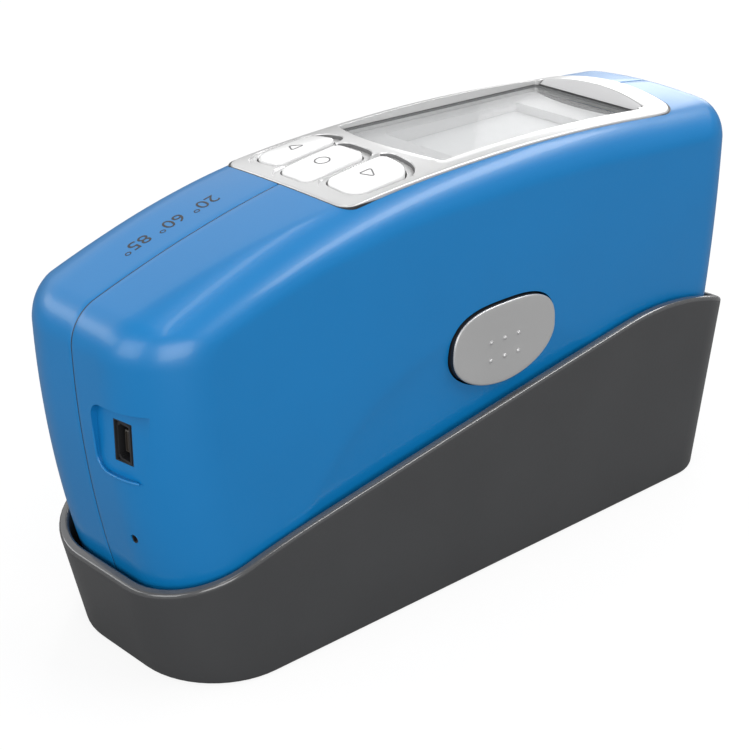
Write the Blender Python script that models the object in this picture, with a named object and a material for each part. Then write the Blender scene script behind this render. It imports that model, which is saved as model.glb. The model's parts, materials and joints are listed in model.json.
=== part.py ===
"""Hand-held gloss meter standing in its calibration base.

Lengths are in millimetres here and are turned into metres when a mesh is made.
+X is the display end, -X the socket end, -Y the side with the test button, +Z up.
"""
import math

import bmesh
import bpy
from mathutils import Matrix, Vector
from mathutils.geometry import delaunay_2d_cdt

MM = 0.001

# Clearances
SEAT_GAP = 0.3
SEAM_GAP = 0.3
KEY_GAP = 0.35
STOP_GAP = 0.3
CUT_REACH = 6.0
SURFACE_STEP = 6.5
OVERLAP = 0.8

# Body, side view
PEAK_X = 13.8
PEAK_Z = 91.8
TOP_REAR_RADIUS = 262.0
TOP_FRONT_RADIUS = 440.0
REAR_X = -82.0
REAR_Z = 70.0
REAR_RADIUS = 200.0
FRONT_X = 80.9
FRONT_Z = 78.0
FRONT_RADIUS = 300.0
CORNER_REAR_TOP = 8.5
CORNER_FRONT_TOP = 8.0
CORNER_FOOT = 3.0
CAP_CORNER = 4.0
CAP_FOOT = 2.0

# Body, across
BODY_HALF_WIDTH = 23.3
CROWN_RADIUS = 61.0
CROWN_REAR_X = 10.0
CROWN_FRONT_X = 52.0
CROWN_REAR_FADE = 72.0
CROWN_FRONT_FADE = 48.0
EDGE_TOP = 8.0
EDGE_REAR = 15.0
EDGE_FRONT = 10.0
EDGE_FOOT = 2.0
WALL = 2.2
TOP_WALL = 3.0
CAVITY_FOOT_EDGE = 0.8

# Calibration base
BASE_REAR_X = -74.7
BASE_FRONT_X = 76.9
BASE_HALF_WIDTH = 25.3
BASE_REAR_CORNER = 17.9
BASE_FRONT_CORNER = 12.0
BASE_REAR_DRAFT = 0.225
BASE_FRONT_DRAFT = 0.135
BASE_SIDE_DRAFT = 0.025
BASE_WALL = 2.3
BASE_FIT = 0.35
BASE_INNER_DRAFT = 0.012
BASE_FLOOR = 5.0
BASE_FOOT_EDGE = 1.0
RIM_PEAK_X = 49.8
RIM_PEAK_Z = 45.9
RIM_RISE = 0.187
RIM_FRONT_DROP = 0.0095
RIM_REAR_X = -41.2
RIM_REAR_DROP = 0.0021
TILE_LENGTH = 64.0
TILE_WIDTH = 28.0
TILE_THICKNESS = 2.1
TILE_CORNER = 3.0

# Sole plate
SOLE_END_MARGIN = 13.0
SOLE_WIDTH = 26.0
SOLE_FLANGE = 2.0
SOLE_FLANGE_THICKNESS = 1.5
APERTURE_END_MARGIN = 3.0
APERTURE_WIDTH = 11.0
SOLE_SCREW_RADIUS = 1.6
SOLE_SCREW_INSET = 4.2
SCREW_SUNK = 0.2

# Panel on the top
PANEL_REAR_X = -32.8
PANEL_FRONT_X = 65.4
PANEL_HALF_WIDTH = 18.2
PANEL_REAR_BOW = 1.0
PANEL_FRONT_BOW = 1.8
PANEL_REAR_CORNER = 3.5
PANEL_FRONT_CORNER = 5.0
PANEL_THICKNESS = 1.5
PANEL_PROUD = 0.2
PANEL_LEDGE = 0.8
WINDOW_REAR_X = -4.2
WINDOW_FRONT_X = 55.0
WINDOW_HALF_WIDTH = 15.3
WINDOW_REAR_BOW = 4.8
WINDOW_CORNER = 1.2
WINDOW_REAR_DEPTH = 3.0
WINDOW_FRONT_DEPTH = 4.6
WINDOW_THICKNESS = 1.2
WINDOW_SEAT = 1.1
FRAME_WALL = 1.4
FRAME_FLOOR = 1.0
INLAY_HALF_WIDTH = 14.2
INLAY_REACH = 2.7
INLAY_END_REACH = 1.3
INLAY_STEP = 0.3
INLAY_THICKNESS = 0.6

# Keys
KEY_LENGTH = 15.4
KEY_WIDTH = 8.7
KEY_PITCH = 11.0
KEY_MIDDLE_X = -21.9
KEY_OUTER_SHIFT = 2.2
KEY_OUTER_CORNER = 3.8
KEY_INNER_CORNER = 2.0
KEY_PROUD = 0.5
KEY_CAP_DEPTH = 2.4
KEY_TRAVEL = 0.6
KEY_STEM_RADIUS = 1.8
KEY_STEM_LENGTH = 2.5
KEY_STEP = 5.0
WELL_MARGIN = 1.3
WELL_END = 2.2
WELL_REAR_DEPTH = 0.3
WELL_FRONT_DEPTH = 0.9

# Switches and boards
BOARD_THICKNESS = 1.6
SWITCH_SIDE = 6.0
KEY_SWITCH_HEIGHT = 6.1
PLUNGER_RADIUS = 1.4
PLUNGER_HOLD = 1.4
MAIN_BOARD_DEPTH = 19.8
MAIN_BOARD_REAR_X = -38.0
MAIN_BOARD_FRONT_X = 58.0
MAIN_BOARD_HALF_WIDTH = 18.0
RAIL_HEIGHT = 1.6
RAIL_REACH = 1.6
LCD_REAR_X = 3.0
LCD_FRONT_X = 51.0
LCD_HALF_WIDTH = 14.0
LCD_GLASS_THICKNESS = 1.2
LCD_GLASS_INSET = 1.0

# Test button on the side
BUTTON_X = 6.0
BUTTON_Z = 50.9
BUTTON_HALF_LENGTH = 14.8
BUTTON_HALF_HEIGHT = 8.8
BUTTON_UPPER_POWER = 2.9
BUTTON_LOWER_POWER = 1.95
BUTTON_PROUD = 0.9
BUTTON_THICKNESS = 2.6
BUTTON_EDGE = 0.7
BUTTON_TRAVEL = 1.0
BUTTON_GAP = 0.4
BUTTON_STEM_RADIUS = 3.0
BUTTON_STEM_LENGTH = 3.6
DOT_PITCH = 4.0
DOT_RADIUS = 0.55
DOT_RISE = 0.3
DOT_SHIFT_X = -0.3
DOT_SHIFT_Z = -0.9
TEST_PLUNGER_LENGTH = 3.1
TEST_SWITCH_DEPTH = 3.7
TEST_BOARD_HALF_LENGTH = 21.0
TEST_BOARD_HALF_HEIGHT = 7.5
BOSS_RADIUS = 2.5
TEST_BOSS_INSET = 3.0

# Finger dish below the test button
DISH_X = -1.7
DISH_Z = 4.0
DISH_RADIUS = 53.0
DISH_DEPTH = 0.9

# Socket end
SOCKET_Y = -10.6
SOCKET_Z = 51.8
SOCKET_WIDTH = 4.2
SOCKET_HEIGHT = 7.8
SOCKET_LENGTH = 9.2
SOCKET_WALL = 0.5
SOCKET_DEPTH = 7.0
SOCKET_MOUTH_X = -78.9
TONGUE_INSET = 1.0
TONGUE_WIDTH = 1.2
TONGUE_HEIGHT = 4.4
RECESS_EDGE_Y = -4.0
RECESS_FLOOR_X = -80.0
RECESS_TILT = 7.5
RECESS_HEIGHT = 14.2
RECESS_REACH = 20.0
RECESS_CORNER = 3.2
INTERFACE_REAR_X = -72.0
INTERFACE_BOSS_SPREAD = 10.0
INTERFACE_LOW_Z = 27.0
INTERFACE_HIGH_Z = 61.0
RESET_Z = 31.5
PINHOLE_RADIUS = 0.9
RESET_RADIUS = 1.0
RESET_TRAVEL = 0.3
RESET_LENGTH = 3.6
RESET_SWITCH_LENGTH = 5.0

# Inside
OPTICS_END_MARGIN = 4.0
OPTICS_HALF_WIDTH = 11.0
OPTICS_HEIGHT = 30.0
OPTICS_ANGLES = (20.0, 60.0, 85.0)
LAMP_INSET = 5.0
BORE_RADIUS = 2.7
BORE_RUN = 30.0
LAMP_LENGTH = 6.0
INSIDE_MARGIN = 1.4
BATTERY_LENGTH = 50.0
BATTERY_WIDTH = 25.5
BATTERY_HEIGHT = 25.0
BATTERY_CORNER = 2.0

# Values that follow from those above
BODY_FOOT = BASE_FLOOR + SEAT_GAP
SIDE_INNER = BODY_HALF_WIDTH - WALL
FOOT_REAR = REAR_X + REAR_RADIUS - math.sqrt(REAR_RADIUS ** 2 - (REAR_Z - BODY_FOOT) ** 2)
FOOT_FRONT = FRONT_X - FRONT_RADIUS + math.sqrt(FRONT_RADIUS ** 2 - (FRONT_Z - BODY_FOOT) ** 2)
SOLE_HALF_LENGTH = min(-FOOT_REAR, FOOT_FRONT) - SOLE_END_MARGIN
OPTICS_HALF_LENGTH = SOLE_HALF_LENGTH - OPTICS_END_MARGIN
APERTURE_HALF_LENGTH = OPTICS_HALF_LENGTH - APERTURE_END_MARGIN
INTERFACE_FRONT_X = -OPTICS_HALF_LENGTH - INSIDE_MARGIN
BATTERY_REAR_X = INTERFACE_FRONT_X + INSIDE_MARGIN
MAIN_BOARD_Z = PEAK_Z - MAIN_BOARD_DEPTH
FRAME_DEPTH = WINDOW_THICKNESS + SEAT_GAP + FRAME_FLOOR
LCD_TOP_Z = PEAK_Z - WINDOW_FRONT_DEPTH - FRAME_DEPTH - SEAT_GAP
KEY_NAMES = ("key_up", "key_enter", "key_down")


def clear_scene():
    for item in list(bpy.data.objects):
        bpy.data.objects.remove(item, do_unlink=True)


def material(name, colour, roughness, metallic=0.0, transmission=0.0):
    mat = bpy.data.materials.new(name)
    mat.use_nodes = True
    shader = mat.node_tree.nodes["Principled BSDF"]
    shader.inputs["Base Color"].default_value = (*colour, 1.0)
    shader.inputs["Roughness"].default_value = roughness
    shader.inputs["Metallic"].default_value = metallic
    shader.inputs["Transmission Weight"].default_value = transmission
    return mat


def finish(name, bm, look=None, smooth=35.0):
    """Turn a bmesh in millimetres into a linked object in metres."""
    bmesh.ops.recalc_face_normals(bm, faces=bm.faces)
    bmesh.ops.scale(bm, vec=(MM, MM, MM), verts=bm.verts)
    mesh = bpy.data.meshes.new(name)
    bm.to_mesh(mesh)
    bm.free()
    item = bpy.data.objects.new(name, mesh)
    bpy.context.scene.collection.objects.link(item)
    mesh.shade_smooth()
    mesh.set_sharp_from_angle(angle=math.radians(smooth))
    if look:
        mesh.materials.append(look)
    return item


def hide_cutter(item):
    item.hide_render = True
    item.display_type = "WIRE"
    return item


def boolean(target, tool, operation="DIFFERENCE"):
    hide_cutter(tool)
    step = target.modifiers.new(tool.name, "BOOLEAN")
    step.operation = operation
    step.solver = "EXACT"
    step.object = tool


def move_origin(item, point):
    """Put the object's origin on a point in millimetres and leave its mesh where it is."""
    place = Vector(point) * MM
    item.data.transform(Matrix.Translation(-place))
    item.location = place


def loft(bm, rings, closed_ends=(True, True)):
    """Skin closed rings of equal length and cap the two ends."""
    rows = []
    for ring in rings:
        rows.append([bm.verts.new(point) for point in ring])
    count = len(rows[0])
    for low, high in zip(rows, rows[1:]):
        for i in range(count):
            j = (i + 1) % count
            bm.faces.new((low[i], low[j], high[j], high[i]))
    if closed_ends[0]:
        bm.faces.new(rows[0])
    if closed_ends[1]:
        bm.faces.new(rows[-1])
    return rows


def box(name, x, y, z, look=None):
    bm = bmesh.new()
    corners = ((x[0], y[0]), (x[1], y[0]), (x[1], y[1]), (x[0], y[1]))
    loft(bm, [[(u, v, level) for u, v in corners] for level in z])
    return finish(name, bm, look)


def rod(name, start, end, radius, look=None, sides=20):
    """Cylinder from one point to another."""
    start = Vector(start)
    axis = Vector(end) - start
    turn = axis.to_track_quat("Z", "Y").to_matrix()
    rings = []
    for level in (0.0, axis.length):
        ring = []
        for i in range(sides):
            angle = 2 * math.pi * i / sides
            point = Vector((radius * math.cos(angle), radius * math.sin(angle), level))
            ring.append(start + turn @ point)
        rings.append(ring)
    bm = bmesh.new()
    loft(bm, rings)
    return finish(name, bm, look)


def rounded_outline(corners, steps=5):
    """Closed outline of (x, y, radius) corners, each corner rounded by its radius."""
    outline = []
    count = len(corners)
    for i in range(count):
        here = Vector(corners[i][:2])
        radius = corners[i][2]
        before = Vector(corners[i - 1][:2]) - here
        after = Vector(corners[(i + 1) % count][:2]) - here
        if radius <= 0.0:
            outline.append(tuple(here))
            continue
        before.normalize()
        after.normalize()
        half = math.acos(max(-1.0, min(1.0, before.dot(after)))) / 2
        centre = here + (before + after).normalized() * (radius / math.sin(half))
        first = here + before * (radius / math.tan(half)) - centre
        last = here + after * (radius / math.tan(half)) - centre
        sweep = math.atan2(first.cross(last), first.dot(last))
        for k in range(steps + 1):
            outline.append(tuple(centre + Matrix.Rotation(sweep * k / steps, 2) @ first))
    return outline


def rectangle(x0, x1, y0, y1, radius, steps=5):
    corners = ((x0, y0, radius), (x1, y0, radius), (x1, y1, radius), (x0, y1, radius))
    return rounded_outline(corners, steps)


def bow(x, half_width, depth, count=6):
    """Points of a bowed end edge between its two corners, running from -Y to +Y."""
    points = []
    for i in range(1, count):
        y = half_width * (2 * i / count - 1)
        points.append((x + depth * (1 - (y / half_width) ** 2), y, 0.0))
    return points


def prism_y(name, outline, y0, y1, look=None):
    """Prism along Y over an outline of (x, z) points."""
    bm = bmesh.new()
    loft(bm, [[(x, y, z) for x, z in outline] for y in (y0, y1)])
    return finish(name, bm, look)


def prism_z(name, outline, z0, z1, look=None):
    bm = bmesh.new()
    loft(bm, [[(x, y, z) for x, y in outline] for z in (z0, z1)])
    return finish(name, bm, look)


# The top surface and plates that follow it


def arch(x):
    radius = TOP_REAR_RADIUS if x < PEAK_X else TOP_FRONT_RADIUS
    return PEAK_Z - radius + math.sqrt(radius ** 2 - (x - PEAK_X) ** 2)


def crown(y):
    return CROWN_RADIUS - math.sqrt(CROWN_RADIUS ** 2 - y ** 2)


def crown_share(x):
    """Share of the full crown at a station, which fades towards both ends of the body."""
    if x < CROWN_REAR_X:
        run = (CROWN_REAR_X - x) / CROWN_REAR_FADE
    else:
        run = max(0.0, x - CROWN_FRONT_X) / CROWN_FRONT_FADE
    return 0.5 + 0.5 * math.cos(math.pi * min(1.0, run))


def surface(x, y):
    return arch(x) - crown_share(x) * crown(y)


def window_plane(x):
    share = (x - WINDOW_REAR_X) / (WINDOW_FRONT_X - WINDOW_REAR_X)
    depth = WINDOW_REAR_DEPTH + (WINDOW_FRONT_DEPTH - WINDOW_REAR_DEPTH) * share
    return PEAK_Z - depth


def spread(outline, step):
    """Closed outline with extra points so that no side is longer than the step."""
    points = []
    for a, b in zip(outline, outline[1:] + outline[:1]):
        length = math.dist(a, b)
        parts = max(1, math.ceil(length / step))
        for k in range(parts):
            points.append((a[0] + (b[0] - a[0]) * k / parts, a[1] + (b[1] - a[1]) * k / parts))
    return points


def plate(name, outline, top, bottom, look=None, step=SURFACE_STEP):
    """Plate between two height functions over an outline, with a grid of inner points."""
    rim = [Vector(point) for point in spread(outline, step)]
    xs = [point.x for point in rim]
    ys = [point.y for point in rim]
    inner = []
    columns = max(2, round((max(xs) - min(xs)) / step))
    rows = max(2, round((max(ys) - min(ys)) / step))
    for i in range(1, columns):
        for j in range(1, rows):
            x = min(xs) + (max(xs) - min(xs)) * i / columns
            y = min(ys) + (max(ys) - min(ys)) * j / rows
            if min(math.dist((x, y), point) for point in rim) > 0.35 * step:
                inner.append(Vector((x, y)))
    loop = list(range(len(rim)))
    result = delaunay_2d_cdt(rim + inner, [], [loop], 1, 1e-6)
    points, faces = result[0], result[2]
    bm = bmesh.new()
    upper = [bm.verts.new((p.x, p.y, top(p.x, p.y))) for p in points]
    lower = [bm.verts.new((p.x, p.y, bottom(p.x, p.y))) for p in points]
    sides = {}
    for face in faces:
        bm.faces.new([upper[i] for i in face])
        bm.faces.new([lower[i] for i in reversed(face)])
        for i, j in zip(face, list(face[1:]) + [face[0]]):
            sides[(i, j)] = sides.get((i, j), 0) + 1
    for i, j in sides:
        if (j, i) not in sides:
            bm.faces.new((upper[i], lower[i], lower[j], upper[j]))
    return finish(name, bm, look)


def along(offset):
    """Height function that runs parallel to the top surface."""
    return lambda x, y: surface(x, y) + offset


# Body shells


def meet(first, first_radius, second, second_radius, side):
    """Crossing point of two circles, on the chosen side of the line between their centres."""
    line = second - first
    length = line.length
    reach = (first_radius ** 2 - second_radius ** 2 + length ** 2) / (2 * length)
    height = math.sqrt(first_radius ** 2 - reach ** 2)
    across = Vector((-line.y, line.x)) / length
    return first + line * (reach / length) + across * (height * side)


def heading(centre, point):
    line = point - centre
    angle = math.atan2(line.y, line.x)
    return angle if angle >= 0.5 * math.pi - 1e-9 else angle + 2 * math.pi


def sweep_arc(centre, radius, first, last, count):
    points = []
    for i in range(count):
        angle = first + (last - first) * i / count
        points.append((centre.x + radius * math.cos(angle), centre.y + radius * math.sin(angle)))
    return points


def side_profile(top, rear, foot, front, rear_top, front_top, low):
    """Closed side outline, set in by four amounts and rounded by three corner radii.

    Returns (x, z, crowned) from the peak over the rear, the foot and the front.
    """
    c_rear_top = Vector((PEAK_X, PEAK_Z - TOP_REAR_RADIUS))
    c_front_top = Vector((PEAK_X, PEAK_Z - TOP_FRONT_RADIUS))
    c_rear = Vector((REAR_X + REAR_RADIUS, REAR_Z))
    c_front = Vector((FRONT_X - FRONT_RADIUS, FRONT_Z))
    r1 = TOP_REAR_RADIUS - top
    r2 = REAR_RADIUS - rear
    r3 = FRONT_RADIUS - front
    r4 = TOP_FRONT_RADIUS - top
    z = BODY_FOOT + foot + low
    f1 = meet(c_rear_top, r1 - rear_top, c_rear, r2 - rear_top, 1)
    f2 = Vector((c_rear.x - math.sqrt((r2 - low) ** 2 - (z - REAR_Z) ** 2), z))
    f3 = Vector((c_front.x + math.sqrt((r3 - low) ** 2 - (z - FRONT_Z) ** 2), z))
    f4 = meet(c_front_top, r4 - front_top, c_front, r3 - front_top, -1)
    a1 = heading(c_rear_top, f1)
    a2 = heading(c_rear, f1)
    a3 = heading(c_rear, f2)
    a4 = heading(c_front, f3)
    a5 = heading(c_front, f4)
    a6 = heading(c_front_top, f4)
    if a5 < a4:
        a5 += 2 * math.pi
    if a6 < a5:
        a6 += 2 * math.pi
    up, down = 0.5 * math.pi, 1.5 * math.pi
    rear_fillet = sweep_arc(f1, rear_top, a1, a2, 6)
    front_fillet = sweep_arc(f4, front_top, a5, a6, 6)
    outline = [(x, y, crown_share(x)) for x, y in sweep_arc(c_rear_top, r1, up, a1, 13)]
    outline += [(x, y, crown_share(x) * (1 - i / 6)) for i, (x, y) in enumerate(rear_fillet)]
    outline += [(x, y, 0.0) for x, y in sweep_arc(c_rear, r2, a2, a3, 7)]
    outline += [(x, y, 0.0) for x, y in sweep_arc(f2, low, a3, down, 3)]
    for i in range(8):
        outline.append((f2.x + (f3.x - f2.x) * i / 8, BODY_FOOT + foot, 0.0))
    outline += [(x, y, 0.0) for x, y in sweep_arc(f3, low, down, a4, 3)]
    outline += [(x, y, 0.0) for x, y in sweep_arc(c_front, r3, a4, a5, 6)]
    outline += [(x, y, crown_share(x) * i / 6) for i, (x, y) in enumerate(front_fillet)]
    front_top = sweep_arc(c_front_top, r4, a6, up + 2 * math.pi, 10)
    outline += [(x, y, crown_share(x)) for x, y in front_top]
    return outline


def body_rings(outer, cap, half_width, side, crown_steps, edge_steps):
    """Rings from the seam to the flat side of one half of the body."""
    rings = [[] for _ in range(crown_steps + edge_steps + 1)]
    seam = SEAM_GAP / 2
    for (x, z, crowned), (cx, cz, _) in zip(outer, cap):
        inward = Vector((cx - x, cz - z))
        radius = inward.length
        inward.normalize()
        bend = crowned / CROWN_RADIUS
        turn_y = (half_width - radius) / (1 - radius * bend)
        first = math.asin(turn_y * bend)
        for k in range(crown_steps + 1):
            y = seam + (turn_y - seam) * k / crown_steps
            rings[k].append((x, side * y, z - crowned * crown(y)))
        base = z - crowned * crown(turn_y)
        for k in range(1, edge_steps + 1):
            angle = first + (0.5 * math.pi - first) * k / edge_steps
            y = turn_y + radius * (math.sin(angle) - math.sin(first))
            drop = radius * (math.cos(first) - math.cos(angle))
            place = (x + inward.x * drop, side * y, base + inward.y * drop)
            rings[crown_steps + k].append(place)
    return rings


def body_half(name, side, look):
    corner = (CORNER_REAR_TOP, CORNER_FRONT_TOP, CORNER_FOOT)
    outer = side_profile(0, 0, 0, 0, *corner)
    cap = side_profile(EDGE_TOP, EDGE_REAR, EDGE_FOOT, EDGE_FRONT, CAP_CORNER, CAP_CORNER, CAP_FOOT)
    inset = (TOP_WALL, WALL, WALL, WALL)
    inner = side_profile(*inset, *(value - WALL + 0.4 for value in corner))
    low = WALL + CAVITY_FOOT_EDGE
    hollow = side_profile(EDGE_TOP, EDGE_REAR, low, EDGE_FRONT, CAP_CORNER, CAP_CORNER, CAP_FOOT)
    outside = body_rings(outer, cap, BODY_HALF_WIDTH, side, 3, 5)
    inside = body_rings(inner, hollow, SIDE_INNER, side, 2, 3)
    bm = bmesh.new()
    loft(bm, list(reversed(outside)) + inside)
    return finish(name, bm, look)


def panel_outline(grow=0.0):
    rear = PANEL_REAR_X + PANEL_REAR_BOW - grow
    front = PANEL_FRONT_X - PANEL_FRONT_BOW + grow
    half = PANEL_HALF_WIDTH + grow
    corners = [(rear, -half, PANEL_REAR_CORNER), (front, -half, PANEL_FRONT_CORNER)]
    corners += bow(front, half, PANEL_FRONT_BOW)[2:-2]
    corners += [(front, half, PANEL_FRONT_CORNER), (rear, half, PANEL_REAR_CORNER)]
    corners += reversed(bow(rear, half, -PANEL_REAR_BOW)[1:-1])
    return rounded_outline(corners, 4)


def window_outline(grow=0.0, front_reach=0.0):
    rear = WINDOW_REAR_X - grow
    front = WINDOW_FRONT_X + grow + front_reach
    half = WINDOW_HALF_WIDTH + grow
    corners = [(rear, -half, WINDOW_CORNER), (front, -half, WINDOW_CORNER)]
    corners += [(front, half, WINDOW_CORNER), (rear, half, WINDOW_CORNER)]
    corners += reversed(bow(rear, half, -WINDOW_REAR_BOW))
    return rounded_outline(corners, 3)


def key_place(index):
    """Centre of a key: -1 near the test button, 0 in the middle, 1 on the far side."""
    return KEY_MIDDLE_X + KEY_OUTER_SHIFT * abs(index), KEY_PITCH * index


def key_outline(index, grow=0.0, stretch=0.0):
    x, y = key_place(index)
    long = KEY_LENGTH / 2 + grow + stretch
    wide = KEY_WIDTH / 2 + grow
    near = (KEY_OUTER_CORNER if index == -1 else KEY_INNER_CORNER) + grow
    far = (KEY_OUTER_CORNER if index == 1 else KEY_INNER_CORNER) + grow
    corners = [(x - long, y - wide, near), (x + long, y - wide, near)]
    corners += [(x + long, y + wide, far), (x - long, y + wide, far)]
    return rounded_outline(corners, 4)


def inlay_reach(y):
    """Length of the sloping inlay from the window's front edge to the panel's surface."""
    fall = (INLAY_REACH - INLAY_END_REACH) * (y / INLAY_HALF_WIDTH) ** 2
    return max(INLAY_END_REACH / 2, INLAY_REACH - fall)


def inlay_outline(grow=0.0):
    rear = WINDOW_FRONT_X + SEAT_GAP - grow
    half = INLAY_HALF_WIDTH + grow
    points = [(rear, -half), (rear, half)]
    for i in range(13):
        y = half * (1 - i / 6)
        points.append((WINDOW_FRONT_X + SEAT_GAP + inlay_reach(y) + grow, y))
    return points


def inlay_top(drop=0.0):
    """Height of the slope from just above the window up to the panel's surface."""
    def height(x, y):
        low = window_plane(WINDOW_FRONT_X) + INLAY_STEP
        high = surface(x, y) + PANEL_PROUD
        share = (x - WINDOW_FRONT_X - SEAT_GAP) / inlay_reach(y)
        return low + (high - low) * share - drop
    return height


def well_floor(x, y):
    """Floor of the key wells, which gets deeper towards the display."""
    share = (x - KEY_MIDDLE_X) / (KEY_LENGTH + 2 * WELL_END) + 0.5
    depth = WELL_REAR_DEPTH + (WELL_FRONT_DEPTH - WELL_REAR_DEPTH) * min(1.0, max(0.0, share))
    return surface(x, y) + PANEL_PROUD - depth


def cut_panel_pocket(shells):
    pocket = plate("cut_pocket", panel_outline(SEAT_GAP), along(CUT_REACH),
                   along(-PANEL_THICKNESS - SEAT_GAP))
    through = plate("cut_panel", panel_outline(SEAT_GAP - PANEL_LEDGE), along(CUT_REACH),
                    along(-TOP_WALL - CUT_REACH))
    for shell in shells:
        boolean(shell, pocket)
        boolean(shell, through)


def cut_sole_opening(shells):
    half = SOLE_HALF_LENGTH + SEAT_GAP
    wide = SOLE_WIDTH / 2 + SEAT_GAP
    tool = box("cut_sole", (-half, half), (-wide, wide),
               (BODY_FOOT - CUT_REACH, BODY_FOOT + WALL + OVERLAP))
    for shell in shells:
        boolean(shell, tool)


def button_outline(grow=0.0, count=40):
    """Rounded outline, squarer above and rounder below, as (x, z)."""
    points = []
    for i in range(count):
        angle = 2 * math.pi * i / count
        c, s = math.cos(angle), math.sin(angle)
        power = 2 / (BUTTON_UPPER_POWER if s > 0 else BUTTON_LOWER_POWER)
        x = (BUTTON_HALF_LENGTH + grow) * math.copysign(abs(c) ** power, c)
        z = (BUTTON_HALF_HEIGHT + grow) * math.copysign(abs(s) ** power, s)
        points.append((BUTTON_X + x, BUTTON_Z + z))
    return points


def cut_dish(shell):
    """Shallow round dish in the near side, around the lower half of the test button."""
    face = -BODY_HALF_WIDTH
    shares = (1.12, 1.0, 0.8, 0.55, 0.25)
    rings = []
    for share in (shares[0],) + shares:
        depth = DISH_DEPTH * (1 - share ** 2) if rings else -CUT_REACH
        ring = []
        for i in range(48):
            angle = 2 * math.pi * i / 48
            x = DISH_X + DISH_RADIUS * share * math.cos(angle)
            z = DISH_Z + DISH_RADIUS * share * math.sin(angle)
            ring.append((x, face + depth, z))
        rings.append(ring)
    bm = bmesh.new()
    loft(bm, rings)
    boolean(shell, finish("cut_dish", bm))


def side_features(shell):
    """Button hole, socket recess, socket hole and pinhole of the near shell."""
    boolean(shell, prism_y("cut_button", button_outline(BUTTON_GAP),
                           -BODY_HALF_WIDTH - CUT_REACH, -SIDE_INNER + OVERLAP))
    low = SOCKET_Z - RECESS_HEIGHT / 2
    high = SOCKET_Z + RECESS_HEIGHT / 2
    corners = [(0.0, low, RECESS_CORNER), (-RECESS_REACH, low, 0.0)]
    corners += [(-RECESS_REACH, high, 0.0), (0.0, high, RECESS_CORNER)]
    bm = bmesh.new()
    rim = rounded_outline(corners, 4)
    loft(bm, [[(x, y, z) for y, z in rim] for x in (-2 * CUT_REACH, 0.0)])
    turn = Matrix.Rotation(math.radians(RECESS_TILT), 4, "Z")
    shift = Matrix.Translation((RECESS_FLOOR_X, RECESS_EDGE_Y, 0.0))
    bmesh.ops.transform(bm, matrix=shift @ turn, verts=bm.verts)
    boolean(shell, finish("cut_recess", bm))
    wide = SOCKET_WIDTH / 2 + SEAT_GAP
    tall = SOCKET_HEIGHT / 2 + SEAT_GAP
    boolean(shell, box("cut_socket", (REAR_X - CUT_REACH, RECESS_FLOOR_X + CUT_REACH),
                       (SOCKET_Y - wide, SOCKET_Y + wide), (SOCKET_Z - tall, SOCKET_Z + tall)))
    boolean(shell, rod("cut_pinhole", (REAR_X - CUT_REACH, SOCKET_Y, RESET_Z),
                       (INTERFACE_REAR_X, SOCKET_Y, RESET_Z), PINHOLE_RADIUS, sides=16))


def add_rail(shell, side):
    """Ledge inside the shell that carries the main board."""
    top = MAIN_BOARD_Z - SEAT_GAP
    inner = MAIN_BOARD_HALF_WIDTH - RAIL_REACH
    rail = box(f"rail_{shell.name}", (MAIN_BOARD_REAR_X, MAIN_BOARD_FRONT_X),
               sorted((side * inner, side * (SIDE_INNER + OVERLAP))), (top - RAIL_HEIGHT, top))
    boolean(shell, rail, "UNION")


def add_boss(shell, name, x, z, end_y):
    boss = rod(name, (x, -SIDE_INNER - OVERLAP, z), (x, end_y, z), BOSS_RADIUS, sides=16)
    boolean(shell, boss, "UNION")


# Calibration base


def rim_height(x):
    turn = RIM_PEAK_X - RIM_RISE / (2 * RIM_FRONT_DROP)
    if x >= turn:
        return RIM_PEAK_Z - RIM_FRONT_DROP * (x - RIM_PEAK_X) ** 2
    height = RIM_PEAK_Z - RIM_FRONT_DROP * (turn - RIM_PEAK_X) ** 2 + RIM_RISE * (x - turn)
    if x < RIM_REAR_X:
        height -= RIM_REAR_DROP * (x - RIM_REAR_X) ** 2
    return height


def base_corners(z, inset, half):
    rear = BASE_REAR_X - BASE_REAR_DRAFT * z + inset
    front = BASE_FRONT_X + BASE_FRONT_DRAFT * z - inset
    r_rear = BASE_REAR_CORNER - inset
    r_front = BASE_FRONT_CORNER - inset
    corners = [(rear, -half, r_rear), (front, -half, r_front)]
    return corners + [(front, half, r_front), (rear, half, r_rear)]


def base_outline(z, share=0.0, inset=0.0):
    """Plan outline at a height: share 0 is the outer face, 1 is the inner face."""
    steps = 7
    outer = base_corners(z, inset, BASE_HALF_WIDTH + BASE_SIDE_DRAFT * z - inset)
    fit = BODY_HALF_WIDTH + BASE_FIT + BASE_INNER_DRAFT * (z - BASE_FLOOR)
    inner = base_corners(z, BASE_WALL, fit)
    pairs = zip(rounded_outline(outer, steps), rounded_outline(inner, steps))
    rounded = [(a[0] + (b[0] - a[0]) * share, a[1] + (b[1] - a[1]) * share) for a, b in pairs]
    points = []
    for i, (a, b) in enumerate(zip(rounded, rounded[1:] + rounded[:1])):
        parts = 14 if i in (steps, 3 * steps + 2) else 1
        for k in range(parts):
            points.append((a[0] + (b[0] - a[0]) * k / parts, a[1] + (b[1] - a[1]) * k / parts))
    return points


def base_ring(height_share, share=0.0, drop=0.0, floor=0.0):
    """Ring at a share of the wall's height, which follows the rim."""
    ring = []
    for i, (x, _) in enumerate(base_outline(BASE_FLOOR, share)):
        z = floor + (rim_height(x) - drop - floor) * height_share
        px, py = base_outline(z, share)[i]
        ring.append((px, py, z))
    return ring


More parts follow.
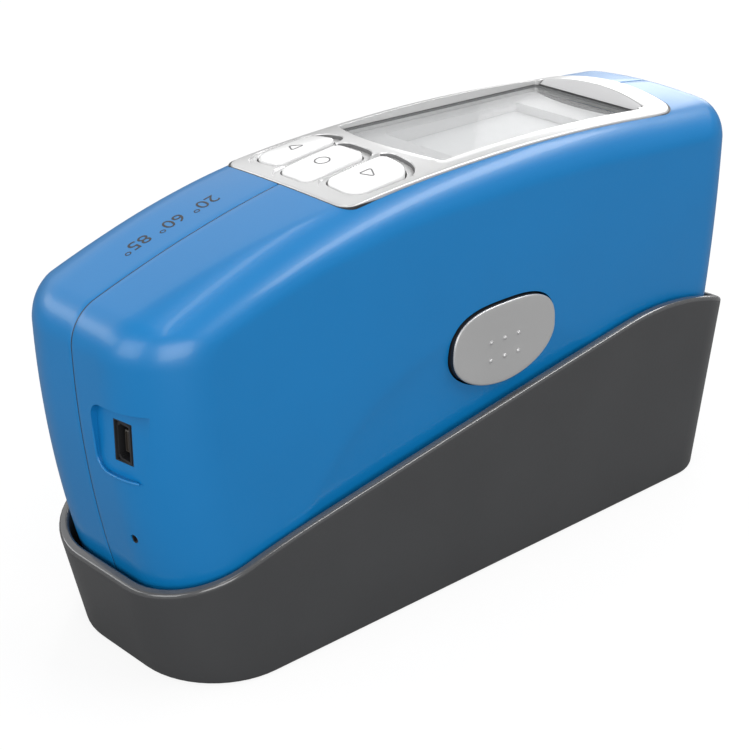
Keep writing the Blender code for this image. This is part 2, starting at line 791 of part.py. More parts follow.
def calibration_base(look):
    edge = BASE_FOOT_EDGE
    half = BASE_WALL / 2
    rings = [[(x, y, 0.0) for x, y in base_outline(0.0, 0.0, edge)]]
    rings.append([(x, y, 0.3 * edge) for x, y in base_outline(0.0, 0.0, 0.3 * edge)])
    rings.append([(x, y, edge) for x, y in base_outline(edge)])
    rings.append(base_ring(0.5, 0.0, 0.0, edge))
    for angle in (0, 45, 90, 135, 180):
        turn = math.radians(angle)
        share = (1 - math.cos(turn)) / 2
        rings.append(base_ring(1.0, share, half * (1 - math.sin(turn))))
    rings.append(base_ring(0.5, 1.0, half, BASE_FLOOR))
    rings.append([(x, y, BASE_FLOOR) for x, y in base_outline(BASE_FLOOR, 1.0)])
    bm = bmesh.new()
    loft(bm, rings)
    base = finish("calibration_base", bm, look)
    recess = rectangle(-TILE_LENGTH / 2 - SEAT_GAP, TILE_LENGTH / 2 + SEAT_GAP,
                       -TILE_WIDTH / 2 - SEAT_GAP, TILE_WIDTH / 2 + SEAT_GAP, TILE_CORNER)
    depth = BASE_FLOOR - TILE_THICKNESS - SEAT_GAP
    boolean(base, prism_z("cut_tile", recess, depth, BASE_FLOOR + CUT_REACH))
    return base


def calibration_tile(look):
    outline = rectangle(-TILE_LENGTH / 2, TILE_LENGTH / 2, -TILE_WIDTH / 2, TILE_WIDTH / 2,
                        TILE_CORNER - SEAT_GAP)
    return prism_z("calibration_tile", outline, BASE_FLOOR - TILE_THICKNESS, BASE_FLOOR, look)


# Sole plate, optics and battery


def sole_plate(look, screw_look):
    half = SOLE_HALF_LENGTH
    wide = SOLE_WIDTH / 2
    low = BODY_FOOT + WALL + SEAT_GAP
    top = low + SOLE_FLANGE_THICKNESS
    sole = box("sole_plate", (-half, half), (-wide, wide),
               (BODY_FOOT, top - SOLE_FLANGE_THICKNESS / 3), look)
    flange = box("sole_flange", (-half - SOLE_FLANGE, half + SOLE_FLANGE),
                 (-wide - SOLE_FLANGE, wide + SOLE_FLANGE), (low, top))
    boolean(sole, flange, "UNION")
    slot = rectangle(-APERTURE_HALF_LENGTH, APERTURE_HALF_LENGTH, -APERTURE_WIDTH / 2,
                     APERTURE_WIDTH / 2, 0.49 * APERTURE_WIDTH)
    boolean(sole, prism_z("cut_aperture", slot, BODY_FOOT - CUT_REACH, top + CUT_REACH))
    number = 0
    for x in (-half + SOLE_SCREW_INSET, half - SOLE_SCREW_INSET):
        for y in (-wide + SOLE_SCREW_INSET, wide - SOLE_SCREW_INSET):
            number += 1
            radius = SOLE_SCREW_RADIUS
            boolean(sole, rod(f"cut_screw_{number}", (x, y, BODY_FOOT - CUT_REACH),
                              (x, y, top + CUT_REACH), radius + SEAT_GAP, sides=16))
            rod(f"sole_screw_{number}", (x, y, BODY_FOOT + SCREW_SUNK), (x, y, top), radius,
                screw_look, 16)
    return top


def optics(floor, block_look, lamp_look, sensor_look):
    """Block with three pairs of bores that meet at the aperture, with a lamp and a sensor each."""
    low = floor + SEAT_GAP
    high = low + OPTICS_HEIGHT
    block = box("optics_block", (-OPTICS_HALF_LENGTH, OPTICS_HALF_LENGTH),
                (-OPTICS_HALF_WIDTH, OPTICS_HALF_WIDTH), (low, high), block_look)
    focus = Vector((0.0, 0.0, BODY_FOOT))
    for degrees in OPTICS_ANGLES:
        angle = math.radians(degrees)
        along_block = OPTICS_HALF_LENGTH / math.sin(angle)
        reach = min(along_block, (high - focus.z) / math.cos(angle)) - LAMP_INSET
        for side, word, look in ((-1, "lamp", lamp_look), (1, "sensor", sensor_look)):
            way = Vector((side * math.sin(angle), 0.0, math.cos(angle)))
            name = f"{word}_{degrees:.0f}"
            bore = rod(f"cut_{name}", focus, focus + way * (reach + BORE_RUN), BORE_RADIUS)
            boolean(block, bore)
            rod(name, focus + way * (reach - LAMP_LENGTH), focus + way * reach,
                BORE_RADIUS - SEAT_GAP, look, 16)
    return high


def battery_pack(floor, look):
    outer = SIDE_INNER - SEAT_GAP
    outline = rectangle(BATTERY_REAR_X, BATTERY_REAR_X + BATTERY_LENGTH, outer - BATTERY_WIDTH,
                        outer, BATTERY_CORNER, 3)
    return prism_z("battery_pack", outline, floor + SEAT_GAP, floor + SEAT_GAP + BATTERY_HEIGHT,
                   look)


# Panel, display and keys


def bezel(look):
    body = plate("bezel", panel_outline(), along(PANEL_PROUD), along(-PANEL_THICKNESS), look)
    frame = window_outline(FRAME_WALL, INLAY_REACH)
    low, high = MAIN_BOARD_Z, PEAK_Z + CUT_REACH
    boolean(body, plate("bezel_frame", frame, along(-PANEL_THICKNESS / 2),
                        lambda x, y: window_plane(x) - FRAME_DEPTH), "UNION")
    boolean(body, plate("cut_window", window_outline(), along(CUT_REACH),
                        lambda x, y: window_plane(x) - WINDOW_THICKNESS - SEAT_GAP))
    boolean(body, prism_z("cut_view", window_outline(-WINDOW_SEAT), low, high))
    boolean(body, plate("cut_inlay", inlay_outline(SEAT_GAP), along(CUT_REACH),
                        inlay_top(INLAY_THICKNESS + SEAT_GAP), step=INLAY_REACH))
    for index, name in zip((-1, 0, 1), KEY_NAMES):
        well = key_outline(index, WELL_MARGIN, WELL_END - WELL_MARGIN)
        boolean(body, plate(f"cut_well_{name}", well, along(CUT_REACH), well_floor))
    for index, name in zip((-1, 0, 1), KEY_NAMES):
        boolean(body, prism_z(f"cut_{name}", key_outline(index, KEY_GAP), low, high))
    return body


def display(window_look, frame_look, glass_look, inlay_look):
    plate("display_window", window_outline(-SEAT_GAP), lambda x, y: window_plane(x),
          lambda x, y: window_plane(x) - WINDOW_THICKNESS, window_look)
    plate("end_inlay", inlay_outline(0.0), inlay_top(), inlay_top(INLAY_THICKNESS), inlay_look,
          INLAY_REACH)
    low = MAIN_BOARD_Z + BOARD_THICKNESS + SEAT_GAP
    seat = LCD_TOP_Z - LCD_GLASS_THICKNESS
    box("lcd_frame", (LCD_REAR_X, LCD_FRONT_X), (-LCD_HALF_WIDTH, LCD_HALF_WIDTH),
        (low, seat - SEAT_GAP), frame_look)
    glass = LCD_HALF_WIDTH - LCD_GLASS_INSET
    box("lcd_glass", (LCD_REAR_X + LCD_GLASS_INSET, LCD_FRONT_X - LCD_GLASS_INSET),
        (-glass, glass), (seat, LCD_TOP_Z), glass_look)


def switch(name, point, way, height, hole_depth, look):
    """Square switch housing with a round hole for its plunger on the face that it turns up."""
    half = SWITCH_SIDE / 2
    point = Vector(point)
    way = Vector(way)
    far = point + way * height
    size = Vector((half, half, half)) - Vector([abs(v) for v in way]) * half
    low = [min(a, b) - s for a, b, s in zip(point, far, size)]
    high = [max(a, b) + s for a, b, s in zip(point, far, size)]
    body = box(name, (low[0], high[0]), (low[1], high[1]), (low[2], high[2]), look)
    boolean(body, rod(f"cut_{name}", far - way * hole_depth, far + way * CUT_REACH,
                      PLUNGER_RADIUS + SEAT_GAP, sides=16))


def keys(key_look, switch_look, plunger_look):
    board = MAIN_BOARD_Z + BOARD_THICKNESS
    for index, name in zip((-1, 0, 1), KEY_NAMES):
        x, y = key_place(index)
        foot = board + SEAT_GAP
        head = foot + KEY_SWITCH_HEIGHT
        depth = PLUNGER_HOLD + KEY_TRAVEL + STOP_GAP
        switch(f"{name}_switch", (x, y, foot), (0, 0, 1), KEY_SWITCH_HEIGHT, depth, switch_look)
        stem_end = surface(x, y) + KEY_PROUD - KEY_CAP_DEPTH - KEY_STEM_LENGTH
        rod(f"{name}_plunger", (x, y, head - PLUNGER_HOLD), (x, y, stem_end - SEAT_GAP),
            PLUNGER_RADIUS, plunger_look, 16)
        cap = plate(name, key_outline(index), along(KEY_PROUD), along(KEY_PROUD - KEY_CAP_DEPTH),
                    key_look, KEY_STEP)
        stem = rod(f"{name}_stem", (x, y, stem_end),
                   (x, y, surface(x, y) + KEY_PROUD - KEY_CAP_DEPTH / 2), KEY_STEM_RADIUS, sides=16)
        boolean(cap, stem, "UNION")
        for item in (cap, bpy.data.objects[f"{name}_plunger"]):
            move_origin(item, (x, y, MAIN_BOARD_Z))


def main_board(look):
    wide = MAIN_BOARD_HALF_WIDTH
    box("main_board", (MAIN_BOARD_REAR_X, MAIN_BOARD_FRONT_X), (-wide, wide),
        (MAIN_BOARD_Z, MAIN_BOARD_Z + BOARD_THICKNESS), look)


def test_button(button_look, switch_look, plunger_look, board_look):
    face = -BODY_HALF_WIDTH - BUTTON_PROUD
    back = face + BUTTON_THICKNESS
    rings = []
    for y, grow in ((back, 0.0), (face + BUTTON_EDGE, 0.0), (face + 0.3 * BUTTON_EDGE, -0.2),
                    (face, -BUTTON_EDGE)):
        rings.append([(x, y, z) for x, z in button_outline(grow)])
    bm = bmesh.new()
    loft(bm, rings)
    button = finish("test_button", bm, button_look)
    stem_end = back + BUTTON_STEM_LENGTH
    boolean(button, rod("button_stem", (BUTTON_X, back - OVERLAP, BUTTON_Z),
                        (BUTTON_X, stem_end, BUTTON_Z), BUTTON_STEM_RADIUS, sides=20), "UNION")
    for row in (-0.5, 0.5):
        for column in (-1, 0, 1):
            x = BUTTON_X + DOT_SHIFT_X + DOT_PITCH * column
            z = BUTTON_Z + DOT_SHIFT_Z + DOT_PITCH * row
            dot = rod(f"dot_{column + 1}_{row > 0:d}", (x, face + OVERLAP, z),
                      (x, face - DOT_RISE, z), DOT_RADIUS, sides=10)
            boolean(button, dot, "UNION")
    plunger_start = stem_end + SEAT_GAP
    plunger_end = plunger_start + TEST_PLUNGER_LENGTH
    rod("test_plunger", (BUTTON_X, plunger_start, BUTTON_Z), (BUTTON_X, plunger_end, BUTTON_Z),
        PLUNGER_RADIUS, plunger_look, 16)
    mouth = plunger_end - PLUNGER_HOLD
    depth = PLUNGER_HOLD + BUTTON_TRAVEL + STOP_GAP
    rear = mouth + TEST_SWITCH_DEPTH
    switch("test_switch", (BUTTON_X, rear, BUTTON_Z), (0, -1, 0), TEST_SWITCH_DEPTH, depth,
           switch_look)
    board = rear + SEAT_GAP
    box("test_board", (BUTTON_X - TEST_BOARD_HALF_LENGTH, BUTTON_X + TEST_BOARD_HALF_LENGTH),
        (board, board + BOARD_THICKNESS),
        (BUTTON_Z - TEST_BOARD_HALF_HEIGHT, BUTTON_Z + TEST_BOARD_HALF_HEIGHT), board_look)
    for item in (button, bpy.data.objects["test_plunger"]):
        move_origin(item, (BUTTON_X, face, BUTTON_Z))
    return board


def socket_group(shell_look, tongue_look, switch_look, plunger_look, board_look):
    wide = SOCKET_WIDTH / 2
    tall = SOCKET_HEIGHT / 2
    mouth = SOCKET_MOUTH_X
    socket = box("usb_socket", (mouth, mouth + SOCKET_LENGTH), (SOCKET_Y - wide, SOCKET_Y + wide),
                 (SOCKET_Z - tall, SOCKET_Z + tall), shell_look)
    wide -= SOCKET_WALL
    tall -= SOCKET_WALL
    boolean(socket, box("cut_mouth", (mouth - CUT_REACH, mouth + SOCKET_DEPTH),
                        (SOCKET_Y - wide, SOCKET_Y + wide), (SOCKET_Z - tall, SOCKET_Z + tall)))
    box("usb_tongue", (mouth + TONGUE_INSET, mouth + SOCKET_DEPTH - SEAT_GAP),
        (SOCKET_Y - TONGUE_WIDTH / 2, SOCKET_Y + TONGUE_WIDTH / 2),
        (SOCKET_Z - TONGUE_HEIGHT / 2, SOCKET_Z + TONGUE_HEIGHT / 2), tongue_look)
    board = SOCKET_Y + SOCKET_WIDTH / 2 + SEAT_GAP
    box("interface_board", (INTERFACE_REAR_X, INTERFACE_FRONT_X),
        (board, board + BOARD_THICKNESS), (INTERFACE_LOW_Z, INTERFACE_HIGH_Z), board_look)
    front = INTERFACE_REAR_X
    low = RESET_Z - SWITCH_SIDE / 2
    body = box("reset_switch", (front, front + RESET_SWITCH_LENGTH),
               (SOCKET_Y - SOCKET_WIDTH / 2, SOCKET_Y + SOCKET_WIDTH / 2),
               (low, low + SWITCH_SIDE), switch_look)
    depth = PLUNGER_HOLD + RESET_TRAVEL + STOP_GAP
    boolean(body, rod("cut_reset", (front - CUT_REACH, SOCKET_Y, RESET_Z),
                      (front + depth, SOCKET_Y, RESET_Z), RESET_RADIUS + SEAT_GAP, sides=16))
    end = front + PLUNGER_HOLD
    stem = rod("reset_plunger", (end - RESET_LENGTH, SOCKET_Y, RESET_Z),
               (end, SOCKET_Y, RESET_Z), RESET_RADIUS, plunger_look, 16)
    move_origin(stem, (front, SOCKET_Y, RESET_Z))
    return board


def build():
    clear_scene()
    blue = material("blue_paint", (0.016, 0.17, 0.46), 0.38)
    grey = material("base_grey", (0.055, 0.056, 0.058), 0.42)
    silver = material("silver_panel", (0.72, 0.73, 0.74), 0.32, 0.55)
    satin = material("button_silver", (0.52, 0.52, 0.53), 0.42, 0.6)
    white = material("white_key", (0.9, 0.9, 0.9), 0.22)
    clear = material("clear_window", (0.86, 0.88, 0.9), 0.08, 0.0, 0.6)
    lcd = material("lcd_grey", (0.62, 0.66, 0.7), 0.3)
    inlay = material("inlay_grey", (0.6, 0.6, 0.61), 0.35)
    black = material("black_plastic", (0.02, 0.02, 0.02), 0.5)
    board = material("board_green", (0.03, 0.2, 0.08), 0.5)
    steel = material("steel", (0.6, 0.6, 0.6), 0.3, 1.0)
    glass = material("tile_glass", (0.01, 0.01, 0.01), 0.05)
    wrap = material("battery_wrap", (0.05, 0.06, 0.08), 0.5)

    calibration_base(grey)
    calibration_tile(glass)
    right = body_half("right_shell", -1, blue)
    left = body_half("left_shell", 1, blue)
    cut_panel_pocket((right, left))
    cut_sole_opening((right, left))
    cut_dish(right)
    side_features(right)
    add_rail(right, -1)
    add_rail(left, 1)
    top = sole_plate(black, steel)
    top = optics(top, black, silver, steel)
    battery_pack(top, wrap)
    bezel(silver)
    display(clear, black, lcd, inlay)
    keys(white, black, satin)
    main_board(board)
    seat = test_button(satin, black, satin, board)
    for sign in (-1, 1):
        x = BUTTON_X + sign * (TEST_BOARD_HALF_LENGTH - TEST_BOSS_INSET)
        add_boss(right, f"test_boss_{sign + 1}", x, BUTTON_Z, seat - SEAT_GAP)
    seat = socket_group(steel, black, black, satin, board)
    middle = (INTERFACE_REAR_X + INTERFACE_FRONT_X) / 2
    for sign in (-1, 1):
        z = (INTERFACE_LOW_Z + INTERFACE_HIGH_Z) / 2 + sign * INTERFACE_BOSS_SPREAD
        add_boss(right, f"interface_boss_{sign + 1}", middle, z, seat - SEAT_GAP)


build()
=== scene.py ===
"""Hand-held gloss meter in its calibration base, dressed for the camera.

Shapes are worked out in millimetres and turned into metres as each mesh is made.
+X is the display end, -X the socket end, -Y the side with the test button.
"""
import json
import math

import bmesh
import bpy
import numpy as np
from mathutils import Matrix, Vector
from mathutils.bvhtree import BVHTree
from mathutils.geometry import delaunay_2d_cdt
from mathutils.interpolate import poly_3d_calc


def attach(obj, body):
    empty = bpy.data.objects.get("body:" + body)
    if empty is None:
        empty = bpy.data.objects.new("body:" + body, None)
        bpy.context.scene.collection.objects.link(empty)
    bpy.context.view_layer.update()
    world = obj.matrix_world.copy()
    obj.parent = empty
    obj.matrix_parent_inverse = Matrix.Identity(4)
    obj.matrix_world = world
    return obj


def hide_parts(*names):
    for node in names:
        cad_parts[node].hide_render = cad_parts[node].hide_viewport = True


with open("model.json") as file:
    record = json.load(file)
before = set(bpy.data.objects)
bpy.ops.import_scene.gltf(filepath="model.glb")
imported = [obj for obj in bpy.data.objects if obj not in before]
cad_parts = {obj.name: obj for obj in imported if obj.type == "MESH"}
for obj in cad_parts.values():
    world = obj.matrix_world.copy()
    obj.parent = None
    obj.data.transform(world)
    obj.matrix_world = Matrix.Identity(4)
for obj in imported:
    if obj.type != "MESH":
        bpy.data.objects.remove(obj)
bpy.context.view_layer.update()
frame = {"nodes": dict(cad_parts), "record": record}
nodes = frame["nodes"]


# Calibration base
# A deep tray moulded in dark grey ABS, with a rim that sweeps up towards the display end.
# The wall leans out as it rises, the lip is fully rounded, and the meter drops in loosely.

BASE_REAR, BASE_FRONT, BASE_HALF = -74.7, 76.83, 25.28
# Lean of the rear, front and long walls for each millimetre of height
BASE_DRAFT = (0.225, 0.135, 0.025)
BASE_CORNERS = (17.9, 12.0)
BASE_WALL, BASE_FLOOR, BASE_EDGE = 2.3, 5.0, 1.0
POCKET_HALF, POCKET_DRAFT = 23.65, 0.012
LIP_ROUND, LIP_STEPS = 0.75, 8
# The rim's highest point, the slope towards the socket end, and how the two ends bow down
RIM_PEAK, RIM_SLOPE, RIM_BOW = (49.8, 45.9), 0.187, 0.0095
RIM_DIP_START, RIM_DIP = -41.2, 0.0021
CORNER_STEPS, END_PARTS, SIDE_PARTS = 14, 10, 48
# Length, width and depth of the recess for the tile, and its corners
TILE, TILE_CORNER = (64.6, 28.6, 2.4), 3.3


def placed(name, data):
    """New object in the scene."""
    item = bpy.data.objects.new(name, data)
    bpy.context.scene.collection.objects.link(item)
    return item


def solid(name, verts, faces, look, crease=30.0):
    """Mesh object from points in millimetres, smooth apart from edges sharper than the crease."""
    mesh = bpy.data.meshes.new(name)
    mesh.from_pydata([(x / 1000, y / 1000, z / 1000) for x, y, z in verts], [], faces)
    bm = bmesh.new()
    bm.from_mesh(mesh)
    bmesh.ops.remove_doubles(bm, verts=bm.verts, dist=1e-7)
    bmesh.ops.recalc_face_normals(bm, faces=bm.faces)
    bm.to_mesh(mesh)
    bm.free()
    item = placed(name, mesh)
    mesh.shade_smooth()
    mesh.set_sharp_from_angle(angle=math.radians(crease))
    if look:
        mesh.materials.append(look)
    return item


def skin(rings, caps=(True, True)):
    """Points and faces of a skin over closed rings of equal length."""
    count = len(rings[0])
    verts = [point for ring in rings for point in ring]
    faces = []
    for k in range(len(rings) - 1):
        for i in range(count):
            j = (i + 1) % count
            faces.append((k * count + i, k * count + j, (k + 1) * count + j, (k + 1) * count + i))
    if caps[0]:
        faces.append(tuple(reversed(range(count))))
    if caps[1]:
        faces.append(tuple(range((len(rings) - 1) * count, len(rings) * count)))
    return verts, faces


def plain_mesh(item):
    graph = bpy.context.evaluated_depsgraph_get()
    return bpy.data.meshes.new_from_object(item.evaluated_get(graph), depsgraph=graph)


def settle(item):
    """Turn an object with modifiers into a plain mesh."""
    mesh = plain_mesh(item)
    item.modifiers.clear()
    item.data = mesh
    return item


def carve(item, tools, mode="DIFFERENCE"):
    """Cut or join the tools into an object and take the tools away."""
    for tool in tools:
        step = item.modifiers.new(tool.name, "BOOLEAN")
        step.operation = mode
        step.solver = "EXACT"
        step.object = tool
    settle(item)
    for tool in tools:
        bpy.data.objects.remove(tool)
    return item


def rounded(corners, steps=8):
    """Closed outline of (x, y, radius) corners."""
    outline = []
    for i, corner in enumerate(corners):
        here = Vector(corner[:2])
        radius = corner[2]
        before = (Vector(corners[i - 1][:2]) - here).normalized()
        after = (Vector(corners[(i + 1) % len(corners)][:2]) - here).normalized()
        if radius <= 0.0:
            outline.append(tuple(here))
            continue
        half = math.acos(max(-1.0, min(1.0, before.dot(after)))) / 2
        centre = here + (before + after).normalized() * (radius / math.sin(half))
        first = here + before * (radius / math.tan(half)) - centre
        last = here + after * (radius / math.tan(half)) - centre
        sweep = math.atan2(first.cross(last), first.dot(last))
        for k in range(steps + 1):
            outline.append(tuple(centre + Matrix.Rotation(sweep * k / steps, 2) @ first))
    return outline


def slab(x0, x1, y0, y1, radius=0.0, steps=8):
    return rounded([(x0, y0, radius), (x1, y0, radius), (x1, y1, radius), (x0, y1, radius)], steps)


def wire(tree, node, **inputs):
    """Link or set the named inputs of a node, which is made first if only its kind is given."""
    node = tree.nodes.new(node) if isinstance(node, str) else node
    for key, value in inputs.items():
        socket = node.inputs[key.replace("_", " ")]
        if isinstance(value, bpy.types.NodeSocket):
            tree.links.new(value, socket)
        else:
            socket.default_value = value
    return node


def finish(name):
    """New material, its node tree and its shader."""
    mat = bpy.data.materials.new(name)
    mat.use_nodes = True
    return mat, mat.node_tree, mat.node_tree.nodes["Principled BSDF"]


def grained(name, colour, roughness, grain=1500.0, bump=0.12, metal=0.0, vary=0.05, coat=0.0):
    """Moulded or sprayed finish: fine grain in the height, slow change in tone and gloss."""
    mat, tree, shader = finish(name)
    spot = wire(tree, "ShaderNodeTexCoord").outputs["Object"]
    slow = wire(tree, "ShaderNodeTexNoise", Scale=45.0, Detail=3.0, Vector=spot).outputs["Fac"]
    tone = wire(tree, "ShaderNodeValToRGB", Fac=slow)
    for stop, place, share in zip(tone.color_ramp.elements, (0.3, 0.7), (1 - vary, 1 + vary)):
        stop.position = place
        stop.color = (*(min(1.0, c * share) for c in colour), 1.0)
    gloss = wire(tree, "ShaderNodeMapRange", To_Min=roughness * 0.92, To_Max=roughness * 1.08,
                 Value=slow)
    fine = wire(tree, "ShaderNodeTexNoise", Scale=grain, Detail=2.0, Vector=spot)
    relief = wire(tree, "ShaderNodeBump", Strength=bump, Distance=0.0001,
                  Height=fine.outputs["Fac"])
    wire(tree, shader, Metallic=metal, Coat_Weight=coat, Base_Color=tone.outputs["Color"],
         Roughness=gloss.outputs["Result"], Normal=relief.outputs["Normal"])
    return mat


def rim_height(x):
    turn = RIM_PEAK[0] - RIM_SLOPE / (2 * RIM_BOW)
    if x >= turn:
        return RIM_PEAK[1] - RIM_BOW * (x - RIM_PEAK[0]) ** 2
    height = RIM_PEAK[1] - RIM_BOW * (turn - RIM_PEAK[0]) ** 2 + RIM_SLOPE * (x - turn)
    if x < RIM_DIP_START:
        height -= RIM_DIP * (x - RIM_DIP_START) ** 2
    return height


def base_corner_list(z, inset, half):
    rear = BASE_REAR - BASE_DRAFT[0] * z + inset
    front = BASE_FRONT + BASE_DRAFT[1] * z - inset
    rear_round, front_round = BASE_CORNERS[0] - inset, BASE_CORNERS[1] - inset
    return [(rear, -half, rear_round), (front, -half, front_round),
            (front, half, front_round), (rear, half, rear_round)]


def base_outline(z, share=0.0, inset=0.0):
    """Outline at a height, from the outer face of the wall (share 0) to the inner face (1)."""
    outer_half = BASE_HALF + BASE_DRAFT[2] * z - inset
    inner_half = POCKET_HALF + POCKET_DRAFT * (z - BASE_FLOOR)
    outer = rounded(base_corner_list(z, inset, outer_half), CORNER_STEPS)
    inner = rounded(base_corner_list(z, BASE_WALL, inner_half), CORNER_STEPS)
    ring = [(a[0] + (b[0] - a[0]) * share, a[1] + (b[1] - a[1]) * share)
            for a, b in zip(outer, inner)]
    points = []
    for i, (a, b) in enumerate(zip(ring, ring[1:] + ring[:1])):
        side, within = divmod(i + 1, CORNER_STEPS + 1)
        parts = 1 if within else SIDE_PARTS if side % 2 else END_PARTS
        for k in range(parts):
            points.append((a[0] + (b[0] - a[0]) * k / parts, a[1] + (b[1] - a[1]) * k / parts))
    return points


def base_ring(height_share, share=0.0, drop=0.0, floor=0.0):
    """Ring that lies at a share of the way from a floor to the sweeping rim, less a drop."""
    ring = []
    guide = base_outline(BASE_FLOOR, share)
    levels = {}
    for i, (x, _) in enumerate(guide):
        z = round(floor + (rim_height(x) - drop - floor) * height_share, 4)
        if z not in levels:
            levels[z] = base_outline(z, share)
        px, py = levels[z][i]
        ring.append((px, py, z))
    return ring


rings = []
for k in range(6):
    turn = math.radians(18 * k)
    level = BASE_EDGE * (1 - math.cos(turn))
    inset = BASE_EDGE * (1 - math.sin(turn))
    rings.append([(x, y, level) for x, y in base_outline(level, 0.0, inset)])
for share in (0.25, 0.5, 0.75, 0.93):
    rings.append(base_ring(share, 0.0, LIP_ROUND, BASE_EDGE))
lip = LIP_ROUND / BASE_WALL
lip_start = len(rings)
lip_turns = [math.radians(90 / LIP_STEPS * k) for k in range(LIP_STEPS + 1)]
for turn in lip_turns:
    rings.append(base_ring(1.0, lip * (1 - math.cos(turn)), LIP_ROUND * (1 - math.sin(turn))))
for turn in lip_turns:
    rings.append(base_ring(1.0, 1 - lip * (1 - math.sin(turn)), LIP_ROUND * (1 - math.cos(turn))))
lip_end = len(rings) - 1
rings.append(base_ring(0.6, 1.0, LIP_ROUND, BASE_FLOOR))
rings.append([(x, y, BASE_FLOOR) for x, y in base_outline(BASE_FLOOR, 1.0)])
moulded_grey = grained("moulded_grey", (0.046, 0.047, 0.049), 0.33, 1300.0, 0.16)
# The lip gets its own grey. Its lighter tone is a painted highlight along the rim; its gloss and coat
# are real.
lip_highlight_grey = grained("lip_highlight_grey", (0.07, 0.071, 0.073), 0.2, 1300.0, 0.04, 0.0, 0.03, 0.6)
tray = solid("base_tray", *skin(rings), moulded_grey, 40.0)
tray.data.materials.append(lip_highlight_grey)
around = len(rings[0])
for side in tray.data.polygons[lip_start * around:lip_end * around]:
    side.material_index = 1
recess = slab(-TILE[0] / 2, TILE[0] / 2, -TILE[1] / 2, TILE[1] / 2, TILE_CORNER)
carve(tray, [solid("tile_recess", *skin([[(x, y, z) for x, y in recess]
                                         for z in (BASE_FLOOR - TILE[2], BASE_FLOOR + 4.0)]),
                   moulded_grey)])
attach(tray, "meter_and_base")
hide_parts("calibration_base")


# Body shells
# Two halves moulded in ABS and sprayed satin blue, meeting in a fine seam along the middle.
# The near half has the hole for the test button, the socket recess and the reset pinhole.

# Highest point of the top, and the radii of its arch behind and in front of that point
PEAK, TOP_REAR, TOP_FRONT = (13.8, 91.8), 262.0, 440.0
# Furthest point of each end as x and z, and the radius of its bow
REAR, FRONT = (-82.0, 70.0, 200.0), (80.9, 78.0, 300.0)
FOOT, CROWN, HALF_WIDTH = 5.3, 61.0, 23.3
# Where the crown starts to fade at the rear and at the front, and over what length
FADE_REAR, FADE_FRONT = (10.0, 72.0), (52.0, 48.0)
SEAM, SEAM_LIP = 0.15, 0.18
# Radii of the rear top, front top and lower edges
EDGE_ROUNDS = (8.5, 8.0, 3.0)
# Wall at the top, rear, foot and front, and how far the flat side is set in there
WALL, SIDE_WALL, SET_IN = (3.0, 2.2, 2.2, 2.2), 2.2, (8.0, 15.0, 2.0, 10.0)
# Rear, front and half width of the silver panel, its corners, and how far its ends bow out
PANEL, PANEL_CORNERS, PANEL_BOWS = (-31.8, 63.6, 18.2), (3.5, 5.0), (1.0, 1.8)
# Test button: centre, half sizes, and how square it is above and below
BUTTON, BUTTON_HALF, BUTTON_POWERS = (6.0, 50.9), (14.8, 8.8), (2.9, 1.95)
# Shallow dish round the button: centre, radius and depth
DISH, DISH_RADIUS, DISH_DEPTH = (-1.7, 4.0), 53.0, 0.9
# Recess of the socket: foot, head, corner and lean
RECESS_FOOT, RECESS_HEAD, RECESS_CORNER, RECESS_LEAN = 44.7, 58.9, 3.2, math.radians(7.5)
SOCKET, PINHOLE = (-10.6, 51.8), (-10.6, 31.5)


def arch(x):
    radius = TOP_REAR if x < PEAK[0] else TOP_FRONT
    return PEAK[1] - radius + math.sqrt(radius ** 2 - (x - PEAK[0]) ** 2)


def crown(y):
    return CROWN - math.sqrt(CROWN ** 2 - y ** 2)


def crown_share(x):
    """The crown fades out towards both ends of the body."""
    if x < FADE_REAR[0]:
        run = (FADE_REAR[0] - x) / FADE_REAR[1]
    else:
        run = max(0.0, x - FADE_FRONT[0]) / FADE_FRONT[1]
    return 0.5 + 0.5 * math.cos(math.pi * min(1.0, run))


def surface(x, y):
    return arch(x) - crown_share(x) * crown(y)


def crossing(first, first_radius, second, second_radius, side):
    line = second - first
    length = line.length
    reach = (first_radius ** 2 - second_radius ** 2 + length ** 2) / (2 * length)
    height = math.sqrt(first_radius ** 2 - reach ** 2)
    return first + line * (reach / length) + Vector((-line.y, line.x)) * (height * side / length)


def bearing(centre, point):
    angle = math.atan2(point.y - centre.y, point.x - centre.x)
    return angle if angle >= 0.5 * math.pi - 1e-9 else angle + 2 * math.pi


def sweep(centre, radius, first, last, count):
    points = []
    for i in range(count):
        angle = first + (last - first) * i / count
        points.append((centre.x + radius * math.cos(angle), centre.y + radius * math.sin(angle)))
    return points


